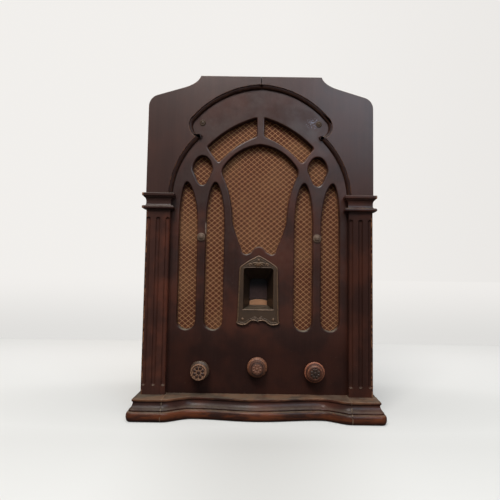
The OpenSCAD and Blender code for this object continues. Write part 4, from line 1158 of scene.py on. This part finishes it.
class RADIO_OT_base(bpy.types.Operator):
    """Runs the base moulding round the serpentine front and the sides"""
    bl_idname = "radio.base"
    bl_label = "Base Moulding"

    def execute(self, context):
        s = cabinet()
        low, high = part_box("base_front")
        ledge_half = cab_half + LEDGE_PAST
        foot_side = high.x - ledge_half
        ledge_y = low.y + FOOT_OUT
        block_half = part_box("pilaster_right")[0].x - 0.6 * MM
        turn = s.corner_round

        def serpentine(x):
            ax = np.abs(x)
            t = np.clip((block_half - ax) / (block_half - VALLEY_HALF), 0, 1)
            ramp = VALLEY_IN * t * t * (3 - 2 * t)
            bow = VALLEY_IN + (BOW_IN - VALLEY_IN) * (0.5 + 0.5 * np.cos(np.pi * ax / VALLEY_HALF))
            joint = np.clip(1 - np.abs(ax - block_half) / (s.joint_width / 2), 0, 1) * JOINT_DEEP
            return np.where(ax > VALLEY_HALF, ramp, bow) + joint

        side = [(ledge_half, y, 1.0, 0.0, 0.0) for y in np.linspace(y_face, ledge_y + turn, 4)[:-1]]
        corner = [(ledge_half - turn, ledge_y + turn, math.cos(a), math.sin(a), turn)
                  for a in np.linspace(0, math.pi / 2, 6)]
        joint = s.joint_width / 2
        xs = np.concatenate([
            np.linspace(ledge_half - turn, block_half + joint, 4)[1:],
            [block_half, block_half - joint],
            np.linspace(block_half - joint, 0, 60)[1:]])
        front = [(x, ledge_y + serpentine(x), 0.0, 1.0, 0.0) for x in xs]
        right = np.array(side + corner + front)
        left = right[-2::-1] * [-1, 1, -1, 1, 1]
        path = np.concatenate([right, left])

        def place(u, v):
            at = np.clip(np.round(u * (len(path) - 1)).astype(int), 0, len(path) - 1)
            reach, up = base_profile(v)
            px, py, dx, dy, r = path[at].T
            return [px + dx * (r + reach * foot_side), py - dy * (r + reach * FOOT_OUT), up * base_top]

        piece = formed_grid("base_front_moulding", len(path) - 1, len(BASE) - 1, place)
        edit(piece)
        for z in (0.0, base_top):
            fill_open(lambda edge: level(edge, 2, z))
        fill_open()
        close_up()
        stand_in(piece, "base_front", "base", 36)

        def side_place(u, v):
            reach, up = base_profile(v)
            return [ledge_half + reach * foot_side, y_face + u * (y_back - y_face), up * base_top]

        right_side = formed_grid("base_side_moulding", 11, len(BASE) - 1, side_place)
        edit(right_side)
        pick_open(lambda edge: level(edge, 2, 0.0) or level(edge, 2, base_top))
        extrude((0, 0, 0))
        resize((0, 1, 1), (cab_half, 0, 0))
        pick_open(lambda edge: level(edge, 0, cab_half) and level(edge, 2, edge.verts[0].co.z))
        bpy.ops.mesh.bridge_edge_loops()
        for y in (y_face, y_back):
            fill_open(lambda edge: level(edge, 1, y))
        close_up()
        stand_in_pair(right_side, "base_side", "base", 36)
        return {"FINISHED"}


class RADIO_OT_case(bpy.types.Operator):
    """Finishes the sides, the wrapped top and the boards inside"""
    bl_idname = "radio.case"
    bl_label = "Case"

    def execute(self, context):
        dress("side", 0.6, "side_left", "side_right")
        dress("top", 0.6, "top_wrap")
        dress("raw_x", 0.5, "bottom_board", "baffle_board")
        dress("raw_z", 0.8, "glue_blocks")
        return {"FINISHED"}


# Profiles of the turned fittings: share of the radius, distance from the board in millimetres
BOSS = chain(
    (0, 0), (1, 0),
    ((1, 0.8), (1, 2.2), (0.78, 2.3), 4),
    ((0.7, 2.0), (0.66, 1.7), (0.6, 2.4), 4),
    ((0.56, 3.0), (0.5, 4.1), (0.3, 4.3), 4),
    ((0.22, 4.1), (0.18, 4.8), (0, 4.95), 4),
)
SCREW = chain(
    (0, 0), (1, 0), (1, 0.35),
    ((0.96, 0.6), (0.8, 1.75), (0.66, 1.2), 5),
    ((0.6, 1.0), (0.45, 1.75), (0, 1.85), 6),
)
SLOT_ANGLE = math.radians(35)


class RADIO_OT_bosses_and_screws(bpy.types.Operator):
    """Turns the mullion bosses and the panel screws"""
    bl_idname = "radio.bosses_and_screws"
    bl_label = "Bosses and Screws"

    def execute(self, context):
        self.pair("mullion_boss", "mullion_bosses", "boss", BOSS)
        self.pair("panel_screw", "panel_screws", "bronze", SCREW, self.cut_slot)
        return {"FINISHED"}

    def pair(self, name, node, look, profile, work=None):
        """A turned piece as wide as the CAD's, with more work on it if there is any, and its twin."""
        low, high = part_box(node)
        r = (high.z - low.z) / 2
        centre = Vector((high.x - r, y_face, (low.z + high.z) / 2))
        right = turned(name, centre, [(share * r, out * MM) for share, out in profile], around=40)
        if work:
            work(right, centre, r)
        both = joined([right, mirrored(right, name + "_left")], name + "_pair")
        stand_in(both, node, look, 40)

    def cut_slot(self, piece, centre, r):
        """Cuts a screw's slot: the strip between two planes is pushed in."""
        across = Vector((math.sin(SLOT_ANGLE), 0, math.cos(SLOT_ANGLE)))
        half, deep = 0.4 * MM, 0.9 * MM

        def in_strip(face):
            at = face.calc_center_median() - centre
            return (abs(at.dot(across)) < half and at.cross(FRONT).length < 0.62 * r
                    and at.y < -0.3 * MM and face.normal.y < -0.2)

        edit(piece)
        for side in (-1, 1):
            everything()
            bpy.ops.mesh.bisect(plane_co=centre + across * half * side, plane_no=across)
        pick("FACE", in_strip)
        extrude((0, deep, 0))
        leave()


class RADIO_OT_grille_cloth(bpy.types.Operator):
    """Stretches the grille cloth over the baffle board"""
    bl_idname = "radio.grille_cloth"
    bl_label = "Grille Cloth"

    def execute(self, context):
        low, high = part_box("grille_cloth")
        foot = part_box("escutcheon")[0].z
        tunnel_half, tunnel_low, tunnel_high = 21.5 * MM, 18.8 * MM, 77.2 * MM
        size = high - low
        step = 2.4 * MM

        def place(u, v):
            x, z = low.x + u * size.x, low.z + v * size.z
            sag = 0.12 * MM * np.sin(x * 210) * np.cos(z * 170)
            return [x, low.y + 0.35 * MM + sag, z]

        def in_tunnel(face):
            at = face.calc_center_median()
            return abs(at.x) < tunnel_half and foot + tunnel_low < at.z < foot + tunnel_high

        cloth = formed_grid("grille_cloth_weave", int(size.x / step), int(size.z / step), place)
        edit(cloth)
        pick("FACE", in_tunnel)
        bpy.ops.mesh.delete(type="FACE")
        everything()
        bpy.ops.mesh.normals_make_consistent(inside=False)
        if pick("FACE", lambda f: f.normal.y > 0):
            everything()
            bpy.ops.mesh.flip_normals()
        leave()
        modified(cloth, "SOLIDIFY", thickness=0.4 * MM, offset=-1.0)
        focus(cloth)
        bpy.ops.object.shade_smooth()
        stand_in(cloth, "grille_cloth", "grille_cloth")
        return {"FINISHED"}


# The dial window in the escutcheon: half its width, and its lower and upper edge above the plate's foot
WINDOW_HALF = 19.5 * MM
WINDOW_LOW = 21 * MM
WINDOW_TOP = 75 * MM
# Its raised rims in millimetres: how far in from the outline, how far behind the front, and radius
RIMS = (("outer_rim", 0.9, 0.3, 1.1), ("inner_rim", 3.3, 0.2, 0.6))
# Places of its ornament: the shell's middle and the scrolls below the peak, the leaves above the foot
SHELL_BELOW = 9.2 * MM
SHELL_RIBS = 7
RIB_ANGLE = math.radians(27)
SCROLL_SIDE, SCROLL_BELOW = 11.2 * MM, 12.4 * MM
LEAF_SIDE, LEAF_ABOVE = 3.0 * MM, 10.0 * MM
LEAF_ANGLE = math.radians(24)


class RADIO_OT_escutcheon(bpy.types.Operator):
    """Builds up the cast escutcheon: raised rims, a sill, a shell, scrolls and its pins"""
    bl_idname = "radio.escutcheon"
    bl_label = "Escutcheon"

    def execute(self, context):
        plate = welded_copy("escutcheon")
        low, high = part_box("escutcheon")
        front = low.y
        corner = 4 * MM
        top = low.z + WINDOW_TOP

        through = 8 * MM
        middle_up = low.z + 50 * MM

        def hollow_corner(edge):
            a, b = (vert.co for vert in edge.verts)
            return not edge.is_convex and abs(a.y - b.y) > through and min(a.z, b.z) > middle_up

        pick("EDGE", hollow_corner)
        bevel(corner, 5)
        around = self.outline(plate, front)
        bevel(0.5 * MM, 3)
        leave()
        half = WINDOW_HALF + 0.4 * MM
        right = [(half, low.z + WINDOW_LOW)] + [
            (half - corner * (1 - math.cos(a)), top - corner * (1 - math.sin(a)))
            for a in np.linspace(0, math.pi / 2, 6)]
        line = right + [(-x, z) for x, z in reversed(right)]
        parts = [plate, self.sill(low, front), self.shell(high, front),
                 rod("window_rim", [(x, front + 0.15 * MM, z) for x, z in line], 0.55 * MM)]
        for name, inset, sunk, r in RIMS:
            parts.append(rod(name, self.inside(around, inset * MM, front + sunk * MM), r * MM, closed=True))
        parts += self.scrolls(low, high, front)
        stand_in(joined(parts, "escutcheon_casting"), "escutcheon", "bronze", 40)
        dress("bronze", 0.2, "escutcheon_pins")
        return {"FINISHED"}

    def outline(self, plate, front):
        """Selects the plate's outer front edges and gives their points, in order along them."""
        pick_rim(front)
        shape = bmesh.from_edit_mesh(plate.data)
        left = {edge for edge in shape.edges if edge.select}
        loops = []
        while left:
            loop, vert = [], next(iter(left)).verts[0]
            while any(e in left for e in vert.link_edges):
                edge = next(e for e in vert.link_edges if e in left)
                left.remove(edge)
                loop.append((edge, vert.co.copy()))
                vert = edge.other_vert(vert)
            loops.append(loop)
        outer = max(loops, key=lambda loop: max(at.x for edge, at in loop))
        edges = {edge for edge, at in outer}
        for edge in shape.edges:
            edge.select_set(edge in edges)
        bmesh.update_edit_mesh(plate.data)
        points = [at for edge, at in outer]
        turn = sum(a.cross(b).y for a, b in zip(points, points[1:]))
        return points if turn < 0 else points[::-1]

    def inside(self, around, inset, y):
        """The outline moved inwards and to a depth."""
        moved = []
        for before, at, after in zip(around[-1:] + around[:-1], around, around[1:] + around[:1]):
            along = (after - before).normalized()
            moved.append((at.x - along.z * inset, y, at.z + along.x * inset))
        return moved

    def sill(self, low, front):
        """The bar along the lower edge of the window."""
        z = low.z + WINDOW_LOW - 1.1 * MM
        reach = WINDOW_HALF + 0.6 * MM
        return rod("sill", [(-reach, front + 0.5 * MM, z), (reach, front + 0.5 * MM, z)], 1.1 * MM)

    def shell(self, high, front):
        """A fan of ribs that hangs under the peak."""
        ribs = []
        outermost = SHELL_RIBS // 2
        for k in range(-outermost, outermost + 1):
            angle = k * RIB_ANGLE
            away = Vector((math.sin(angle), 0, -math.cos(angle)))
            size = 1.0 + 0.12 * abs(k)
            at = Vector((0, front + 0.5 * MM, high.z - SHELL_BELOW)) + away * 3.4 * MM * size
            ribs.append(ball("rib", at, (1.35, 2.4, 3.4 * size), angle))
        return joined(ribs, "shell")

    def scrolls(self, low, high, front):
        """Two curled bars beside the shell and two leaves between the lower pins."""
        bars = []
        for side in (-1, 1):
            at = Vector((side * SCROLL_SIDE, front + 0.1 * MM, high.z - SCROLL_BELOW))
            curl = [at + Vector((side * math.cos(a) * r, 0, math.sin(a) * r)) * MM
                    for a, r in zip(np.linspace(-2.2, 3.6, 16), np.linspace(0.6, 2.3, 16))]
            bars.append(rod("scroll", [tuple(p) for p in curl], 0.9 * MM))
            leaf_at = Vector((side * LEAF_SIDE, front + 0.6 * MM, low.z + LEAF_ABOVE))
            bars.append(ball("leaf", leaf_at, (3.6, 1.1, 1.2), side * LEAF_ANGLE))
        return bars


class RADIO_OT_dial(bpy.types.Operator):
    """Finishes the dial scale, its drive disc, its mask and its lamp"""
    bl_idname = "radio.dial"
    bl_label = "Dial"

    def execute(self, context):
        dress("celluloid", 0.15, "dial_scale")
        dress("steel", 0.2, "drive_disc")
        dress("brass", 0.3, "dial_hub")
        dress("mask", 0.2, "dial_mask")
        dress("brass", 0.2, "lamp_holder")
        dress("lamp_glass", 0.2, "pilot_lamp")
        return {"FINISHED"}


def knob_profiles(l):
    """The three turned profiles, radius and distance from the back in millimetres; l is the length."""
    bore = (0, 11), (3.3, 11), (3.3, 0)
    tip = (0.5, l), (0, l)
    volume = chain(
        *bore, (11.2, 0), ((11.8, 0.1), (12.4, 0.2), (12.4, 1.2), 3),
        ((12.4, 3.0), (12.3, 4.4), (10.8, 4.9), 4), ((9.4, 5.3), (8.3, 6.0), (8.3, 7.6), 4),
        ((8.3, l - 6), (8.4, l - 4.6), (9.6, l - 4.2), 3),
        ((10.3, l - 4.0), (10.4, l - 3.2), (10.3, l - 2.2), 3),
        ((10.2, l - 0.7), (10.0, l - 0.2), (9.3, l - 0.2), 3),
        ((8.7, l - 0.2), (8.3, l - 0.6), (8.1, l - 1.5), 3),
        ((6.5, l - 1.6), (4.4, l - 1.4), (2.3, l - 1.3), 3),
        ((2.1, l - 1.0), (1.9, l - 0.2), (1.2, l - 0.06), 3), *tip)
    tuning = chain(
        *bore, (12.2, 0), ((12.8, 0.1), (13.0, 0.4), (13.0, 1.4), 3),
        ((13.0, 2.6), (12.9, 3.4), (12.2, 4.0), 3), ((11.6, 4.5), (10.8, 5.4), (10.3, 5.6), 3),
        ((9.7, 5.7), (9.1, 6.0), (9.1, 6.8), 2), ((9.1, 7.4), (9.3, 7.8), (9.9, 7.9), 2),
        ((10.2, 8.2), (10.3, l - 5.5), (10.0, l - 4.6), 4),
        ((9.8, l - 4.0), (9.2, l - 3.7), (8.5, l - 3.7), 3),
        ((8.0, l - 3.6), (8.1, l - 2.8), (7.9, l - 2.5), 2),
        ((7.4, l - 1.4), (6.2, l - 0.9), (2.3, l - 0.75), 5),
        ((2.1, l - 0.9), (1.9, l - 0.2), (1.2, l - 0.06), 3), *tip)
    tone = chain(
        *bore, (10.2, 0), ((10.8, 0.2), (10.9, 1.6), (11.6, 2.8), 3),
        ((12.4, 3.4), (13.0, 3.8), (13.0, 5.0), 3), ((13.0, 6.4), (12.9, 7.2), (12.0, 7.6), 4),
        ((10.8, 7.8), (9.6, 8.0), (9.6, 8.6), 3), ((9.6, 9.2), (10.0, 9.3), (10.4, 9.6), 2),
        ((10.6, 10.2), (10.6, l - 4.0), (10.3, l - 3.4), 3),
        ((9.9, l - 2.9), (9.5, l - 2.8), (9.2, l - 2.6), 2),
        ((8.8, l - 1.8), (8.0, l - 1.3), (7.3, l - 1.3), 4),
        ((7.0, l - 1.6), (6.9, l - 2.2), (6.5, l - 2.0), 2),
        ((6.2, l - 1.3), (5.0, l - 1.0), (2.3, l - 0.8), 4),
        ((2.1, l - 1.0), (1.9, l - 0.2), (1.2, l - 0.06), 3), *tip)
    return {"knob_volume": volume, "knob_tuning": tuning, "knob_tone": tone}


class RADIO_OT_knobs(bpy.types.Operator):
    """Turns the three knobs, each to its own profile, and carves their rosettes"""
    bl_idname = "radio.knobs"
    bl_label = "Knobs"

    def execute(self, context):
        count = fittings().petals
        for node, reach in ROSETTES.items():
            low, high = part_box(node)
            centre = Vector(((low.x + high.x) / 2, high.y, (low.z + high.z) / 2))
            l = (high.y - low.y) / MM
            knob = turned(node, centre, [(r * MM, d * MM) for r, d in knob_profiles(l)[node]], around=64)
            leaves = [self.petal(centre, (l - 1.3) * MM, math.tau * (k + 0.5) / count, reach / 6.6)
                      for k in range(count)]
            stand_in(joined([knob] + leaves, node + "_turning"), node, node, 40)
        dress("steel", 0.3, "volume_shaft", "tone_shaft", "tuning_shaft")
        dress("brass", 0.3, "drive_roller")
        return {"FINISHED"}

    def petal(self, centre, out, angle, size):
        """One petal: a ball drawn out from the middle and narrowed at its inner end."""
        away = Vector((math.cos(angle), 0, math.sin(angle)))
        at = centre + FRONT * out + away * 4.2 * MM * size
        return ball("petal", at, (2.1 * size, 1.0, 1.5 * size), angle, 12, (1, 0.8, 0.55))


class RADIO_OT_condenser(bpy.types.Operator):
    """Finishes the tuning condenser"""
    bl_idname = "radio.condenser"
    bl_label = "Tuning Condenser"

    def execute(self, context):
        dress("steel", 0.3, "condenser_frame")
        dress("aluminium", 0.0, "condenser_stator", "condenser_rotor")
        return {"FINISHED"}


class RADIO_OT_chassis(bpy.types.Operator):
    """Finishes the chassis, its controls, bolts, posts and grommet"""
    bl_idname = "radio.chassis"
    bl_label = "Chassis"

    def execute(self, context):
        dress("steel", 0.0, "chassis")
        dress("steel", 0.3, "chassis_bolts")
        dress("bakelite", 0.5, "volume_control", "tone_control")
        dress("brass", 0.3, "tuning_bush", "aerial_earth_posts")
        dress("rubber", 0.5, "mains_grommet")
        return {"FINISHED"}


class RADIO_OT_valves(bpy.types.Operator):
    """Finishes the valves, their sockets, shields and grid leads"""
    bl_idname = "radio.valves"
    bl_label = "Valves"

    def execute(self, context):
        dress("bakelite", 0.3, "valve_sockets", "valve_bases")
        dress("glass", 0.0, "valve_bulbs")
        dress("electrode", 0.3, "valve_anodes")
        dress("aluminium", 0.3, "valve_shields")
        dress("lead_braid", 0.0, "grid_leads")
        return {"FINISHED"}


class RADIO_OT_transformers_and_cans(bpy.types.Operator):
    """Finishes the mains transformer and the cans on the chassis"""
    bl_idname = "radio.transformers_and_cans"
    bl_label = "Transformer and Cans"

    def execute(self, context):
        dress("core", 0.3, "transformer_core")
        dress("enamel", 0.3, "transformer_covers")
        dress("copper", 0.3, "smoothing_cans")
        dress("aluminium", 0.3, "if_cans")
        return {"FINISHED"}


class RADIO_OT_loudspeaker(bpy.types.Operator):
    """Finishes the loudspeaker and its output transformer"""
    bl_idname = "radio.loudspeaker"
    bl_label = "Loudspeaker"

    def execute(self, context):
        dress("enamel", 0.3, "speaker_frame")
        dress("cone_paper", 0.0, "speaker_cone")
        dress("enamel", 0.6, "speaker_magnet")
        dress("core", 0.4, "output_transformer")
        dress("steel", 0.3, "speaker_bolts")
        dress("lead_braid", 0.0, "speaker_lead")
        return {"FINISHED"}


class RADIO_OT_stage(bpy.types.Operator):
    """Sets the camera, the floor and the lights"""
    bl_idname = "radio.stage"
    bl_label = "Stage"

    def execute(self, context):
        s = stage_values()
        scene = context.scene
        self.camera(scene, s)
        self.floor()
        self.light("top_light", (0, 0.1, 2.0), (0, 0.1, 0), 1.8, 1.4, s.top, (1.0, 0.99, 0.97))
        self.light("key_light", (-0.2, -0.95, 1.2), (0, y_face, 0.25), 0.5, 0.5, s.key, (1.0, 0.985, 0.96))
        self.light("window_light", (0.6, -1.5, 1.15), (0, y_face, 0.3), 0.8, 0.8, s.window, (0.68, 0.85, 1.0))
        scene.world = sky_finish("studio")
        scene.view_settings.view_transform = "Standard"
        return {"FINISHED"}

    def camera(self, scene, s):
        # In pixels of the picture: its size, the focal length and where the camera's axis meets it
        frame_px = 500
        sensor = 36.0
        focal_px = 500.0
        axis_px = (261.0, 237.0)
        data = bpy.data.cameras.new("camera")
        data.sensor_width = sensor
        data.lens = sensor * focal_px / frame_px
        data.shift_x = (frame_px / 2 - axis_px[0]) / frame_px
        data.shift_y = (axis_px[1] - frame_px / 2) / frame_px
        data.clip_start = 0.01
        camera = placed("camera", data, (s.camera_side, y_face - s.camera_back, s.camera_height))
        camera.rotation_mode = "QUATERNION"
        camera.rotation_quaternion = (Quaternion((1, 0, 0), math.pi / 2 + s.camera_pitch)
                                      @ Quaternion((0, 0, 1), s.camera_roll))
        scene.camera = camera

    def floor(self):
        """A wide flat floor, whose far part has the backdrop's colour."""
        width = 60.0
        floor = start("plane", "floor", size=width, location=(0, 0, 0))
        floor.data.materials.append(finish("floor"))

    def light(self, name, at, aim, width, height, power, tone):
        data = bpy.data.lights.new(name, "AREA")
        data.shape = "RECTANGLE"
        data.size = width
        data.size_y = height
        data.energy = power
        data.color = tone
        lamp = placed(name, data, at)
        lamp.rotation_euler = (Vector(aim) - Vector(at)).to_track_quat("-Z", "Y").to_euler()


PIECES = (
    RADIO_OT_front_board, RADIO_OT_spandrels, RADIO_OT_pilasters, RADIO_OT_capitals, RADIO_OT_base,
    RADIO_OT_case, RADIO_OT_bosses_and_screws, RADIO_OT_grille_cloth, RADIO_OT_escutcheon, RADIO_OT_dial,
    RADIO_OT_knobs, RADIO_OT_condenser, RADIO_OT_chassis, RADIO_OT_valves, RADIO_OT_transformers_and_cans,
    RADIO_OT_loudspeaker, RADIO_OT_stage,
)


class RADIO_PT_panel(bpy.types.Panel):
    """Lists the sizes, the colours and the pieces"""
    bl_idname = "RADIO_PT_panel"
    bl_label = "Table Radio"
    bl_space_type = "VIEW_3D"
    bl_region_type = "UI"
    bl_category = "Radio"

    def draw(self, context):
        for group in (cabinet(), fittings(), stage_values()):
            box = self.layout.box()
            for name in group.__annotations__:
                box.prop(group, name)
        for operator in PIECES:
            self.layout.operator(operator.bl_idname)


GROUPS = {
    "radio_cabinet": RadioCabinetSettings,
    "radio_fittings": RadioFittingSettings,
    "radio_stage": RadioStageSettings,
}


def register():
    for cls in (*GROUPS.values(), *PIECES, RADIO_PT_panel):
        bpy.utils.register_class(cls)
    for name, cls in GROUPS.items():
        setattr(bpy.types.Scene, name, bpy.props.PointerProperty(type=cls))


def unregister():
    for name in GROUPS:
        delattr(bpy.types.Scene, name)
    for cls in reversed((*GROUPS.values(), *PIECES, RADIO_PT_panel)):
        bpy.utils.unregister_class(cls)


def main():
    register()
    for operator in PIECES:
        group, name = operator.bl_idname.split(".")
        getattr(getattr(bpy.ops, group), name)()


if __name__ == "__main__":
    main()
